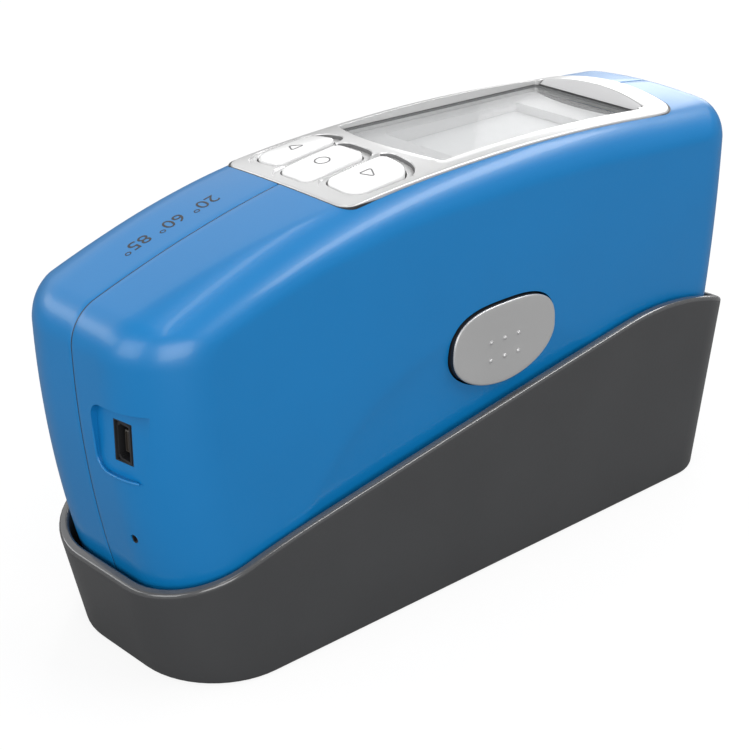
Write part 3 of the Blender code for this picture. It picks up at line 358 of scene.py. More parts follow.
def side_view(top, rear, foot, front, rear_top, front_top, low):
    """Side outline, set in by four amounts and rounded by three radii, as (x, z, crowned)."""
    n_top_rear, bends, n_rear, n_low, n_foot, n_front, n_top_front = 44, 16, 26, 6, 10, 24, 36
    c_rear_top = Vector((PEAK[0], PEAK[1] - TOP_REAR))
    c_front_top = Vector((PEAK[0], PEAK[1] - TOP_FRONT))
    c_rear = Vector((REAR[0] + REAR[2], REAR[1]))
    c_front = Vector((FRONT[0] - FRONT[2], FRONT[1]))
    r1, r2, r3, r4 = TOP_REAR - top, REAR[2] - rear, FRONT[2] - front, TOP_FRONT - top
    z = FOOT + foot + low
    f1 = crossing(c_rear_top, r1 - rear_top, c_rear, r2 - rear_top, 1)
    f2 = Vector((c_rear.x - math.sqrt((r2 - low) ** 2 - (z - REAR[1]) ** 2), z))
    f3 = Vector((c_front.x + math.sqrt((r3 - low) ** 2 - (z - FRONT[1]) ** 2), z))
    f4 = crossing(c_front_top, r4 - front_top, c_front, r3 - front_top, -1)
    a1, a2, a3 = bearing(c_rear_top, f1), bearing(c_rear, f1), bearing(c_rear, f2)
    a4, a5, a6 = bearing(c_front, f3), bearing(c_front, f4), bearing(c_front_top, f4)
    a5 += 2 * math.pi if a5 < a4 else 0.0
    a6 += 2 * math.pi if a6 < a5 else 0.0
    up, down = 0.5 * math.pi, 1.5 * math.pi
    outline = [(x, y, crown_share(x)) for x, y in sweep(c_rear_top, r1, up, a1, n_top_rear)]
    fillet = sweep(f1, rear_top, a1, a2, bends)
    outline += [(x, y, crown_share(x) * (1 - i / bends)) for i, (x, y) in enumerate(fillet)]
    outline += [(x, y, 0.0) for x, y in sweep(c_rear, r2, a2, a3, n_rear)]
    outline += [(x, y, 0.0) for x, y in sweep(f2, low, a3, down, n_low)]
    for i in range(n_foot):
        outline.append((f2.x + (f3.x - f2.x) * i / n_foot, FOOT + foot, 0.0))
    outline += [(x, y, 0.0) for x, y in sweep(f3, low, down, a4, n_low)]
    outline += [(x, y, 0.0) for x, y in sweep(c_front, r3, a4, a5, n_front)]
    fillet = sweep(f4, front_top, a5, a6, bends)
    outline += [(x, y, crown_share(x) * i / bends) for i, (x, y) in enumerate(fillet)]
    top = sweep(c_front_top, r4, a6, up + 2 * math.pi, n_top_front)
    return outline + [(x, y, crown_share(x)) for x, y in top]


def half_rings(outer, cap, half_width, side, crown_steps, edge_steps, lip=0.0):
    """Rings from the seam, over the crown and round the edge, to the flat side."""
    rings = [[] for _ in range(crown_steps + edge_steps + 1)]
    rolls = [[] for _ in range(3)] if lip else []
    for (x, z, crowned), (cx, cz, _) in zip(outer, cap):
        inward = Vector((cx - x, cz - z))
        radius = inward.length
        inward.normalize()
        bend = crowned / CROWN
        turn_y = (half_width - radius) / (1 - radius * bend)
        first = math.asin(turn_y * bend)
        for k, roll in enumerate(rolls):
            turn = math.radians(30 * k)
            sink = lip * (1 - math.sin(turn))
            roll.append((x + inward.x * sink, side * (SEAM + lip * (1 - math.cos(turn))),
                         z + inward.y * sink))
        start = SEAM + lip
        for k in range(crown_steps + 1):
            y = start + (turn_y - start) * k / crown_steps
            rings[k].append((x, side * y, z - crowned * crown(y)))
        base = z - crowned * crown(turn_y)
        for k in range(1, edge_steps + 1):
            angle = first + (0.5 * math.pi - first) * k / edge_steps
            y = turn_y + radius * (math.sin(angle) - math.sin(first))
            drop = radius * (math.cos(first) - math.cos(angle))
            rings[crown_steps + k].append((x + inward.x * drop, side * y, base + inward.y * drop))
    return rolls + rings


def guide(points):
    """Triangles and smooth normals of a clean surface, to shade a cut one by."""
    verts, faces = points
    verts = [Vector(v) / 1000 for v in verts]
    corners = []
    for face in faces:
        if len(face) == 4:
            corners += [(face[0], face[1], face[2]), (face[0], face[2], face[3])]
        elif len(face) == 3:
            corners.append(face)
        else:
            middle = len(verts)
            verts.append(sum((verts[i] for i in face), Vector()) / len(face))
            corners += [(a, b, middle) for a, b in zip(face, face[1:] + face[:1])]
    normals = [Vector() for _ in verts]
    for a, b, c in corners:
        cross = (verts[b] - verts[a]).cross(verts[c] - verts[a])
        for i, j, k in ((a, b, c), (b, c, a), (c, a, b)):
            angle = (verts[j] - verts[i]).angle(verts[k] - verts[i], 0.0)
            normals[i] += cross.normalized() * angle if cross.length else Vector()
    return BVHTree.FromPolygons(verts, corners), verts, corners, [n.normalized() for n in normals]


def shade_by(item, guides, reach=8e-6, agree=0.85):
    """Give corners that still lie on a clean surface that surface's own normals."""
    mesh = item.data
    own = [tuple(corner.vector) for corner in mesh.corner_normals]
    for face in mesh.polygons:
        for loop in face.loop_indices:
            co = mesh.vertices[mesh.loops[loop].vertex_index].co
            for tree, verts, corners, normals in guides:
                near, _, index, gap = tree.find_nearest(co)
                if near is None or gap > reach:
                    continue
                tri = corners[index]
                shares = poly_3d_calc([verts[i] for i in tri], near)
                normal = sum((normals[i] * s for i, s in zip(tri, shares)), Vector())
                dot = normal.normalized().dot(face.normal)
                if abs(dot) > agree:
                    normal = normal if dot > 0 else -normal
                    own[loop] = tuple(normal.normalized())
                    break
    mesh.normals_split_custom_set(own)


def shell(name, side, look):
    """One half of the body as a hollow skin, and its outside alone as a guide for shading."""
    cap_rounds = (4.0, 4.0, 2.0)
    top, rear, foot, front = SET_IN
    outer = side_view(0, 0, 0, 0, *EDGE_ROUNDS)
    cap = side_view(top, rear, foot, front, *cap_rounds)
    inner = side_view(*WALL, *(value - 1.8 for value in EDGE_ROUNDS))
    hollow = side_view(top, rear, foot + 1.0, front, *cap_rounds)
    outside = half_rings(outer, cap, HALF_WIDTH, side, 8, 14, SEAM_LIP)
    inside = half_rings(inner, hollow, HALF_WIDTH - SIDE_WALL, side, 3, 4)
    return solid(name, *skin(list(reversed(outside)) + inside), look), skin(outside, (False, True))


def bowed(x, half, out, marks, parts):
    """Corners along an end of a plate whose middle stands out."""
    across = [half * (2 * i / parts - 1) for i in marks]
    return [(x + out * (1 - (y / half) ** 2), y, 0.0) for y in across]


def panel_edge(grow=0.0):
    """Outline of the silver panel, with both ends bowed."""
    rear, front, half = PANEL[0] - grow, PANEL[1] + grow, PANEL[2] + grow
    at_rear, at_front = PANEL_CORNERS
    corners = [(rear, -half, at_rear), (front, -half, at_front)]
    corners += bowed(front, half, PANEL_BOWS[1], range(2, 11), 12)
    corners += [(front, half, at_front), (rear, half, at_rear)]
    return rounded(corners + bowed(rear, half, -PANEL_BOWS[0], range(11, 1, -1), 12))


def prism(name, outline, low, high, axis="z"):
    """Straight-sided cutter over an outline."""
    if axis == "z":
        return solid(name, *skin([[(x, y, z) for x, y in outline] for z in (low, high)]), None)
    return solid(name, *skin([[(x, y, z) for x, z in outline] for y in (low, high)]), None)


def button_edge(grow=0.0, count=120):
    points = []
    for i in range(count):
        angle = 2 * math.pi * i / count
        c, s = math.cos(angle), math.sin(angle)
        power = 2 / (BUTTON_POWERS[0] if s > 0 else BUTTON_POWERS[1])
        x = (BUTTON_HALF[0] + grow) * math.copysign(abs(c) ** power, c)
        z = (BUTTON_HALF[1] + grow) * math.copysign(abs(s) ** power, s)
        points.append((BUTTON[0] + x, BUTTON[1] + z))
    return points


def dish_rings(count=120):
    rings = []
    for share in (1.06, 1.0, 0.95, 0.9, 0.8, 0.7, 0.6, 0.5, 0.4, 0.3, 0.2, 0.1):
        depth = DISH_DEPTH * (1 - share ** 8)
        ring = []
        for i in range(count):
            angle = 2 * math.pi * i / count
            ring.append((DISH[0] + DISH_RADIUS * share * math.cos(angle), -HALF_WIDTH + depth,
                         DISH[1] + DISH_RADIUS * share * math.sin(angle)))
        rings.append(ring)
    return rings


def circle(centre, radius, turn=15):
    """Points round a centre, one for every few degrees."""
    return [(centre[0] + radius * math.cos(math.radians(a)),
             centre[1] + radius * math.sin(math.radians(a))) for a in range(0, 360, turn)]


SOLE = slab(-58.55, 58.55, -13.3, 13.3)
satin_blue = grained("satin_blue", (0.002, 0.158, 0.41), 0.36, 2600.0, 0.09, 0.0, 0.02, 0.12)
satin_blue.node_tree.nodes["Principled BSDF"].inputs["Specular IOR Level"].default_value = 0.5
near_half, near_guide = shell("near_half", -1, satin_blue)
far_half, far_guide = shell("far_half", -1, satin_blue)
far_guide = ([(x, -y, z) for x, y, z in far_guide[0]], far_guide[1])
for half, guides in ((near_half, [guide(near_guide)]), (far_half, [guide(far_guide)])):
    rim = panel_edge(0.3)
    pocket = skin([[(x, y, surface(x, y) - 1.8) for x, y in rim], [(x, y, 99.0) for x, y in rim]])
    tools = [prism("opening", panel_edge(-0.5), 80.0, 99.0), solid("pocket", *pocket, None),
             prism("sole_opening", SOLE, 1.0, 8.3)]
    if half is near_half:
        dish = dish_rings()
        guides.append(guide(skin(dish)))
        outer_ring = [(x, -HALF_WIDTH - 6.0, z) for x, y, z in dish[0]]
        carve(half, [solid("dish", *skin([outer_ring] + dish), None)])
        tools.append(prism("button_hole", button_edge(0.4), -30.0, -20.3, "y"))
        lean = Matrix.Translation((-80.0, -4.0, 0.0)) @ Matrix.Rotation(RECESS_LEAN, 4, "Z")
        edge = rounded([(0.0, RECESS_FOOT, RECESS_CORNER), (-20.0, RECESS_FOOT, 0.0),
                        (-20.0, RECESS_HEAD, 0.0), (0.0, RECESS_HEAD, RECESS_CORNER)], 10)
        bed = [[tuple(lean @ Vector((x, y, z))) for y, z in edge] for x in (-12.0, 0.0)]
        tools.append(solid("recess", *skin(bed), None))
        tools.append(prism("socket_hole", slab(-90.0, -74.0, -13.0, -8.2), 47.6, 56.0))
        tools.append(solid("pinhole", *skin([[(x, y, z) for y, z in circle(PINHOLE, 0.9, 12)]
                                             for x in (-90.0, -72.0)]), None))
    carve(half, tools)
    if half is far_half:
        half.data.transform(Matrix.Scale(-1.0, 4, (0.0, 1.0, 0.0)))
        half.data.flip_normals()
    half.data.set_sharp_from_angle(angle=math.radians(30.0))
    shade_by(half, guides)
    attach(half, "meter_and_base")
    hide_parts("right_shell" if half is near_half else "left_shell")


# Seam strips
# Black strips set in the fine gap between the two halves as painted shade, so the joint reads as a dark
# hair line.

# The strips end under the panel and beside the sole plate
PANEL_ENDS, SOLE_TOP, SOLE_END, STRIP_HALF = (-33.6, 66.4), 8.9, 59.5, 0.12

outer = side_view(0.1, 0.1, 0.1, 0.1, 8.4, 7.9, 2.9)
inner = side_view(1.3, 1.3, 1.3, 1.3, 7.2, 6.7, 1.7)
# Black for the strips that stand for the shade in the gaps: a painted shade.
gap_shade_black = grained("gap_shade_black", (0.02, 0.02, 0.021), 0.45, 1500.0, 0.1)
for name, sign in (("seam_rear", -1), ("seam_front", 1)):
    rings = []
    for (x, z, _), (ix, iz, _) in zip(outer, inner):
        bare = x < PANEL_ENDS[0] if sign < 0 else x > PANEL_ENDS[1]
        if bare and (z > SOLE_TOP or abs(x) > SOLE_END):
            rings.append([(x, -STRIP_HALF, z), (x, STRIP_HALF, z),
                          (ix, STRIP_HALF, iz), (ix, -STRIP_HALF, iz)])
    strip = solid(name, *skin(rings), gap_shade_black, 50.0)
    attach(strip, "meter_and_base")


# Socket and pinhole
# A black mini socket with a stepped mouth and its tongue, set in a thin liner, and a black
# sleeve that lines the hole of the reset plunger.

black_plastic = grained("black_plastic", (0.012, 0.012, 0.013), 0.42, 1400.0, 0.12)
tongue_brown = grained("tongue_brown", (0.03, 0.025, 0.02), 0.4, 1400.0, 0.05)


LINER_END, SOCKET_FRONT = -76.0, -79.0


def tube(name, sections, look, caps=(True, True)):
    """Skin over (x, outline) sections, each outline given as (y, z) points."""
    return solid(name, *skin([[(x(y) if callable(x) else x, y, z) for y, z in outline]
                              for x, outline in sections], caps), look, 30.0)


def mouth_edge(wide, tall, notch):
    """Socket mouth with its two corners stepped in on one side."""
    y0, y1, z0, z1 = SOCKET[0] - wide, SOCKET[0] + wide, SOCKET[1] - tall, SOCKET[1] + tall
    stairs = ((2 * notch, 0.0), (2 * notch, notch), (notch, notch), (notch, 1.8 * notch),
              (0.0, 1.8 * notch))
    lower = [(y1 - aside, z0 + up) for aside, up in stairs]
    upper = [(y1 - aside, z1 - up) for aside, up in reversed(stairs)]
    return [(y0, z0)] + lower + upper + [(y0, z1)]


def block_edge(wide, tall, radius=0.1):
    y, z = SOCKET
    return slab(y - wide, y + wide, z - tall, z + tall, radius, 3)


def recess_floor(y):
    return -79.1 - (y - SOCKET[0]) * math.tan(RECESS_LEAN)


outer, inner = block_edge(2.38, 4.18), block_edge(2.13, 3.93)
liner = tube("socket_liner", [(recess_floor, outer), (LINER_END, outer), (LINER_END, inner),
                              (recess_floor, inner), (recess_floor, outer)], black_plastic,
             (False, False))
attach(liner, "meter_and_base")
outer, inner = mouth_edge(2.1, 3.9, 0.3), mouth_edge(1.65, 3.45, 0.3)
body = tube("socket_body", [(-69.7, outer), (SOCKET_FRONT, outer), (SOCKET_FRONT, inner),
                            (-71.9, inner)], black_plastic)
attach(body, "meter_and_base")
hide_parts("usb_socket")
tongue = tube("socket_tongue", [(-72.2, block_edge(0.6, 2.2)), (-78.2, block_edge(0.6, 2.2)),
                                (-78.35, block_edge(0.45, 2.05)), (-78.35, block_edge(0.32, 1.92)),
                                (-78.1, block_edge(0.3, 1.9))], tongue_brown)
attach(tongue, "meter_and_base")
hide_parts("usb_tongue")
near_tree = guide(near_guide)[0]
skin_spot = near_tree.ray_cast(Vector((-120.0, *PINHOLE)) / 1000, Vector((1, 0, 0)))[0]
mouth, end = skin_spot.x * 1000 + 0.12, -76.2
outer, inner = circle(PINHOLE, 0.87), circle(PINHOLE, 0.6)
sleeve = tube("pinhole_sleeve", [(mouth, outer), (end, outer), (end, inner), (mouth, inner),
                                 (mouth, outer)], black_plastic, (False, False))
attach(sleeve, "meter_and_base")


# Lip of the socket recess
# A fine rounded bead, moulded and sprayed with the shell, along the recess's foot and far side.

BEAD, RECESS_REACH = 0.3, 12.0
path = []
along_wall = lean.to_3x3() @ Vector((1.0, 0.0, 0.0))
# Down the far side, round the corner and along the foot
for k in range(48):
    if k < 10:
        y, z = 0.0, 54.5 - 0.66 * k
    elif k < 22:
        turn = math.radians(90.0 * (k - 10) / 12)
        y, z = RECESS_CORNER * (math.cos(turn) - 1), 47.9 - RECESS_CORNER * math.sin(turn)
    else:
        y, z = -RECESS_CORNER - 0.3 * (k - 22), RECESS_FOOT
    start = lean @ Vector((-RECESS_REACH, y, z))
    hit, normal, _, gap = near_tree.ray_cast(start / 1000, along_wall)
    if hit and gap * 1000 < RECESS_REACH:
        wide = BEAD * min(1.0, (RECESS_REACH - gap * 1000) / 0.5, (k + 0.4) / 6)
        path.append((hit * 1000, -normal if normal.x > 0 else normal, max(0.04, wide)))
rings = []
for i, (spot, normal, wide) in enumerate(path):
    run = (path[min(i + 1, len(path) - 1)][0] - path[max(i - 1, 0)][0]).normalized()
    across = run.cross(normal).normalized()
    rings.append([tuple(spot + (across * math.cos(math.radians(a)) +
                                normal * math.sin(math.radians(a))) * wide) for a in range(0, 360, 24)])
bead = solid("recess_lip", *skin(rings), satin_blue, 60.0)
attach(bead, "meter_and_base")


# Silver panel
# A moulded frame sprayed silver, let into the top of both halves with a fine dark gap round it.
# It holds the window and the keys, whose wells run into one another and deepen to the window.

# Rear, front and half width of the window, its bowed rear end, and its level and fall forwards
WINDOW, WINDOW_BOW, WINDOW_LEVEL = (-4.2, 55.0, 15.3), 4.8, (88.8, 1.6)
# Foot and half width of the slope, and its length in the middle and at its ends
SLOPE = (55.3, 14.2, 2.7, 1.3)
KEYS = (("key_up", -1), ("key_enter", 0), ("key_down", 1))
KEY_HALF, KEY_PITCH, KEY_OUTER, KEY_INNER, KEY_GAP = (7.7, 4.35), 11.0, 3.8, 2.0, 0.35
PANEL_PROUD, PANEL_ROLL, OPENING_ROLL = 0.19, 0.35, 0.15
# Width of a well's wall, its depth at the rear, and how much deeper it is at the window
WELL_WALL, WELL_REAR, WELL_GAIN, WELL_RUN = 0.3, 0.3, 0.6, 19.8


def window_edge(grow=0.0):
    rear, front, half = WINDOW[0] - grow, WINDOW[1] + grow, WINDOW[2] + grow
    corners = [(rear, -half, 1.2), (front, -half, 1.2), (front, half, 1.2), (rear, half, 1.2)]
    return rounded(corners + bowed(rear, half, -WINDOW_BOW, range(15, 0, -1), 16), 6)


def window_plane(x, y=0.0):
    return WINDOW_LEVEL[0] - WINDOW_LEVEL[1] * (x - WINDOW[0]) / (WINDOW[1] - WINDOW[0])


def under_window(drop):
    return lambda points: np.array([window_plane(x) - drop for x, _ in points])


def key_centre(index):
    return -21.9 + 2.2 * abs(index), KEY_PITCH * index


def key_edge(index, grow=0.0, stretch=0.0):
    x, y = key_centre(index)
    long, wide = KEY_HALF[0] + grow + stretch, KEY_HALF[1] + grow
    near = (KEY_OUTER if index == -1 else KEY_INNER) + grow
    far = (KEY_OUTER if index == 1 else KEY_INNER) + grow
    return rounded([(x - long, y - wide, near), (x + long, y - wide, near),
                    (x + long, y + wide, far), (x - long, y + wide, far)])


def slope_reach(y):
    """Length of the sloping inlay from the window's front edge to the panel's surface."""
    return max(0.65, SLOPE[2] - (SLOPE[2] - SLOPE[3]) * (y / SLOPE[1]) ** 2)


def slope_edge(grow=0.0, count=24):
    half = SLOPE[1] + grow
    points = [(SLOPE[0] - grow, -half), (SLOPE[0] - grow, half)]
    for i in range(count + 1):
        y = half * (1 - 2 * i / count)
        points.append((SLOPE[0] + slope_reach(y) + grow, y))
    return points


def opening_edge():
    """Outline of the panel's opening: the window and the slope beyond it as one hole."""
    rear, front, half = WINDOW
    corners = [(rear, -half, 1.2), (front, -half, 0.6), (front, -SLOPE[1] - 0.3, 0.0)]
    for i in range(25):
        y = (SLOPE[1] + 0.3) * (i / 12 - 1)
        corners.append((SLOPE[0] + slope_reach(y) + 0.3, y, 0.0))
    corners += [(front, SLOPE[1] + 0.3, 0.0), (front, half, 0.6), (rear, half, 1.2)]
    return rounded(corners + bowed(rear, half, -WINDOW_BOW, range(15, 0, -1), 16), 6)


def slope_top(drop=0.0):
    def height(x, y):
        low = window_plane(WINDOW[1]) + 0.3
        share = (x - SLOPE[0]) / slope_reach(y)
        return low + (surface(x, y) + 0.2 - low) * share - drop
    return height


def spaced(outline, step):
    """Closed outline with points about one step apart."""
    points = []
    for a, b in zip(outline, outline[1:] + outline[:1]):
        parts = max(1, round(math.dist(a, b) / step))
        for k in range(parts):
            points.append((a[0] + (b[0] - a[0]) * k / parts, a[1] + (b[1] - a[1]) * k / parts))
    return points


def inset_loop(outline, distance):
    """Outline moved inwards along its own normals."""
    ring = np.array(outline)
    tangent = np.roll(ring, -1, 0) - np.roll(ring, 1, 0)
    tangent /= np.linalg.norm(tangent, axis=1)[:, None]
    after = np.roll(ring, -1, 0)
    area = (ring[:, 0] * after[:, 1] - after[:, 0] * ring[:, 1]).sum()
    normal = np.stack([-tangent[:, 1], tangent[:, 0]], 1) * (1 if area > 0 else -1)
    return ring + normal * distance


def depths(spots, outline):
    """Distance of each spot from an outline, positive inside it."""
    spots = np.atleast_2d(spots)
    a = np.array(outline)
    b = np.roll(a, -1, 0)
    run = b - a
    keep = (run ** 2).sum(1) > 1e-12
    a, b, run = a[keep], b[keep], run[keep]
    rel = spots[:, None, :] - a[None]
    t = np.clip((rel * run).sum(2) / (run ** 2).sum(1), 0.0, 1.0)
    gap = np.linalg.norm(rel - t[..., None] * run, axis=2).min(1)
    rise = np.where(run[:, 1] == 0.0, 1.0, run[:, 1])
    x, y = spots[:, :1], spots[:, 1:]
    crossed = ((a[:, 1] > y) != (b[:, 1] > y)) & (x < run[:, 0] * (y - a[:, 1]) / rise + a[:, 0])
    return np.where(crossed.sum(1) % 2 == 1, gap, -gap)


def rolled(distance, radius):
    """Drop of an edge rolled over by a radius, at a distance from that edge."""
    left = radius - np.clip(distance, 0.0, radius)
    return radius - np.sqrt(radius ** 2 - left ** 2)


def grid(outline, step, clear):
    """Points on a grid inside an outline that stay clear of it."""
    low, high = np.array(outline).min(0), np.array(outline).max(0)
    columns, rows = (max(2, round(v / step)) for v in high - low)
    spots = [(low[0] + (high[0] - low[0]) * i / columns, low[1] + (high[1] - low[1]) * j / rows)
             for i in range(1, columns) for j in range(1, rows)]
    spots = np.array(spots)
    return spots[depths(spots, outline) > clear]


def relief(name, border, holes, rails, top, bottom, look, step=1.3):
    """Plate with holes through it, its top a height function that may have rolls and wells."""
    loops = [border] + holes
    fixed = [Vector(p) for loop in loops for p in loop]
    spots = grid(border, step, 0.3 * step)
    rail_spots = np.vstack(rails)
    apart = [np.linalg.norm(rail_spots - spot, axis=1).min() > 0.45 * step for spot in spots]
    spots = spots[np.array(apart)]
    free = np.vstack([rail_spots, spots])
    inside = depths(free, border) > 1e-4
    for hole in holes:
        inside &= depths(free, hole) < -1e-4
    edges, start = [], 0
    for loop in loops:
        edges += [(start + i, start + (i + 1) % len(loop)) for i in range(len(loop))]
        start += len(loop)
    mesh = delaunay_2d_cdt(fixed + [Vector(p) for p in free[inside]], edges, [], 0, 1e-6)
    points = np.array([tuple(p) for p in mesh[0]])
    faces = [face for face in mesh[2] if len(face) == 3]
    middles = np.array([points[list(face)].mean(0) for face in faces])
    keep = depths(middles, border) > 0
    for hole in holes:
        keep &= depths(middles, hole) < 0
    faces = [face for face, good in zip(faces, keep) if good]
    count = len(points)
    high, low = top(points), bottom(points)
    verts = [(x, y, z) for (x, y), z in zip(points, high)]
    verts += [(x, y, z) for (x, y), z in zip(points, low)]
    skins = [tuple(face) for face in faces]
    skins += [tuple(count + i for i in reversed(face)) for face in faces]
    sides = {(i, j) for face in faces for i, j in zip(face, list(face[1:]) + [face[0]])}
    skins += [(j, i, count + i, count + j) for i, j in sides if (j, i) not in sides]
    used = sorted({i for face in skins for i in face})
    place = {old: new for new, old in enumerate(used)}
    return solid(name, [verts[i] for i in used], [tuple(place[i] for i in f) for f in skins],
                 look, 40.0)


def level(points, offset):
    return np.array([surface(x, y) + offset for x, y in points])


def panel_top(points):
    """The body's own curve, rolled over at each edge, with the wells let into it."""
    height = level(points, PANEL_PROUD) - rolled(depths(points, panel_rim), PANEL_ROLL)
    height -= rolled(-depths(points, opening), OPENING_ROLL)
    well = np.max([depths(points, edge) for edge in wells], axis=0)
    ramp = np.clip(well / WELL_WALL, 0.0, 1.0)
    depth = WELL_REAR + WELL_GAIN * np.clip((points[:, 0] - PANEL[0]) / WELL_RUN, 0.0, 1.0)
    return height - depth * ramp * ramp * (3 - 2 * ramp)


def panel_under(points):
    """Thin under the keys, and a deep frame round the window and the slope."""
    near = np.maximum(depths(points, window_edge(1.4)), depths(points, slope_edge(1.5)))
    return np.where(near > 0.0, under_window(2.5)(points), level(points, -1.5))


silver = grained("sprayed_silver", (0.57, 0.57, 0.57), 0.3, 3000.0, 0.05, 0.35, 0.02)
bed_shadow = grained("bed_shadow", (0.12, 0.12, 0.122), 0.6, 1500.0, 0.1)
panel_rim = spaced(panel_edge(), 1.0)
opening = spaced(opening_edge(), 1.0)
key_holes = [spaced(key_edge(index, KEY_GAP), 0.7) for _, index in KEYS]
wells = [spaced(key_edge(index, 1.3, 0.9), 0.7) for _, index in KEYS]
rails = [inset_loop(panel_rim, PANEL_ROLL * v) for v in (0.05, 0.2, 0.45, 0.75, 1.0)]
rails += [inset_loop(opening, -OPENING_ROLL * v) for v in (0.1, 0.4, 1.0)]
rails += [inset_loop(opening, -1.35), inset_loop(opening, -1.45)]
for i, well in enumerate(wells):
    for inset in (0.0, 0.1, 0.2, 0.3):
        rail = inset_loop(well, inset)
        others = [depths(rail, other) for j, other in enumerate(wells) if j != i]
        rails.append(rail[np.max(others, axis=0) < inset + 0.04])
panel = relief("top_panel", panel_rim, [opening] + key_holes, rails, panel_top, panel_under, silver)
panel.data.materials.append(bed_shadow)
spots = np.array([tuple(f.center * 1000) for f in panel.data.polygons])
ramp = np.max([depths(spots[:, :2], edge) for edge in wells], axis=0)
# Painted shade: the steep front wall of each well gets a dark grey, for the shade that it holds
for face, spot, inside in zip(panel.data.polygons, spots, ramp):
    if 0.1 < inside < WELL_WALL and face.normal.x < -0.35 and spot[0] > -22.0:
        face.material_index = 1
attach(panel, "meter_and_base")
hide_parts("bezel")


# Shade strips of the panel
# Painted shade in black strips: one in the gap round the panel, a ring round the window that is
# seen as a hair line, another round the slope inlay, and the black ledge that the cover lies on.

def slope_level(x, y):
    return slope_top()(min(x, SLOPE[0] + slope_reach(y)), y)


for name, edge, height, near, far, high, low in (
        ("panel_gasket", panel_edge, surface, 0.03, 0.27, 0.02, 1.2),
        ("window_seal", window_edge, window_plane, -0.03, -0.27, 0.02, 0.6),
        ("cover_ledge", window_edge, window_plane, -0.03, -1.1, 1.9, 2.5),
        ("slope_seal", slope_edge, slope_level, 0.03, 0.25, 0.12, 0.7)):
    section = ((near, high), (far, high), (far, low), (near, low), (near, high))
    # Each strip is painted shade, black where the gap lies in shadow.
    gap_strip = solid(name, *skin([[(x, y, height(x, y) - drop) for x, y in edge(grow)]
                              for grow, drop in section], (False, False)), gap_shade_black)
    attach(gap_strip, "meter_and_base")


# Slope inlay
# A light grey painted insert that slopes from the window's front edge up to the panel's surface.

def pillow(name, outline, top, bottom, roll, look, step=1.2, crease=40.0, rolls=4, to=None):
    """Plate over an outline, its upper edge rolled over, with its top on a height function."""
    outline = spaced(outline, step)
    place = to or (lambda x, y, z: (x, y, z))
    loops = [[place(x, y, bottom(x, y)) for x, y in outline]]
    for k in range(rolls + 1):
        turn = math.radians(90.0 * k / rolls)
        flat = inset_loop(outline, roll * (1 - math.cos(turn)))
        drop = roll * (1 - math.sin(turn))
        loops.append([place(x, y, top(x, y) - drop) for x, y in flat])
    verts, faces = skin(loops, (True, False))
    inner = grid(flat, step, 0.5 * step)
    result = delaunay_2d_cdt([Vector(p) for p in flat] + [Vector(p) for p in inner], [],
                             [list(range(len(outline)))], 1, 1e-7)
    start = len(verts)
    verts += [place(p.x, p.y, top(p.x, p.y)) for p in result[0]]
    faces += [tuple(start + i for i in face) for face in result[2]]
    return solid(name, verts, faces, look, crease)


def along(offset):
    return lambda x, y: surface(x, y) + offset


inlay_grey = grained("inlay_grey", (0.49, 0.49, 0.495), 0.4, 2500.0, 0.05, 0.0, 0.02)
crescent = pillow("slope_inlay", slope_edge(), slope_top(), slope_top(0.6), 0.08, inlay_grey, 0.8,
                  40, 2)
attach(crescent, "meter_and_base")
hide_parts("end_inlay")


# Window and display
# A flat clear cover over a grey mask, with the liquid crystal glass lying deeper inside it.

clear, tree, shader = finish("clear_cover")
haze = wire(tree, "ShaderNodeTexNoise", Scale=60.0,
            Vector=wire(tree, "ShaderNodeTexCoord").outputs["Object"])
film = wire(tree, "ShaderNodeMapRange", To_Min=0.05, To_Max=0.08, Value=haze.outputs["Fac"])
wire(tree, shader, Base_Color=(0.8, 0.82, 0.83, 1.0), Specular_IOR_Level=0.08, Alpha=0.1,
     Roughness=film.outputs["Result"])
cover = pillow("window_cover", window_edge(-0.3), window_plane,
               lambda x, y: window_plane(x) - 1.2, 0.12, clear, 3.0, 40, 2)
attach(cover, "meter_and_base")
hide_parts("display_window")

mask_grey = grained("mask_grey", (0.37, 0.37, 0.375), 0.45, 1800.0, 0.06, 0.0, 0.02)
wall_grey = grained("wall_grey", (0.45, 0.45, 0.455), 0.45, 1800.0, 0.06, 0.0, 0.02)
lcd_grey = grained("display_grey", (0.5, 0.505, 0.51), 0.55, 900.0, 0.005, 0.0, 0.01)
mask_outer = spaced(window_edge(-0.32), 2.0)
mask_inner = spaced(slab(4.5, 44.0, -11.0, 11.0, 0.8, 4), 2.0)
mask = relief("display_mask", mask_outer, [mask_inner], [inset_loop(mask_inner, -1.0)],
              under_window(1.42), under_window(1.85), mask_grey, 3.0)
high, low, glass = slab(4.55, 43.95, -10.95, 10.95, 0.7, 6), slab(5.3, 43.2, -10.2, 10.2, 0.3, 6), 84.45
brim = [(x, y, window_plane(x) - 1.44) for x, y in high]
mask_wall = solid("mask_wall", *skin([brim, [(x, y, glass) for x, y in low],
                                      [(x, y, glass) for x, y in high], brim], (False, False)),
                  wall_grey)
for item in (mask, mask_wall):
    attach(item, "meter_and_base")


# Dark plate
# A dark plate let into the mask between the display and the slope, bowed on the display's side.

SLIVER_FRONT, SLIVER_HALF, SLIVER_WIDE = 54.1, 13.8, 2.5
# Outline of the dark plate
lens = [(SLIVER_FRONT, -SLIVER_HALF), (SLIVER_FRONT, SLIVER_HALF)]
for i in range(1, 32):
    y = SLIVER_HALF * (1 - i / 16)
    lens.append((SLIVER_FRONT - 0.05 - SLIVER_WIDE * (1 - (y / SLIVER_HALF) ** 2), y))
sliver_dark = grained("sliver_dark", (0.015, 0.015, 0.016), 0.5, 600.0, 0.0)
sliver_plate = pillow("dark_sliver", lens, lambda x, y: window_plane(x) - 1.25,
                    lambda x, y: window_plane(x) - 1.41, 0.03, sliver_dark, 1.5, 40, 2)
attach(sliver_plate, "meter_and_base")


# Keys
# Three caps moulded in glossy white, each with a rounded edge, standing a little proud. Each
# carries a thin grey mark: a triangle on the outer two and a ring on the middle one.

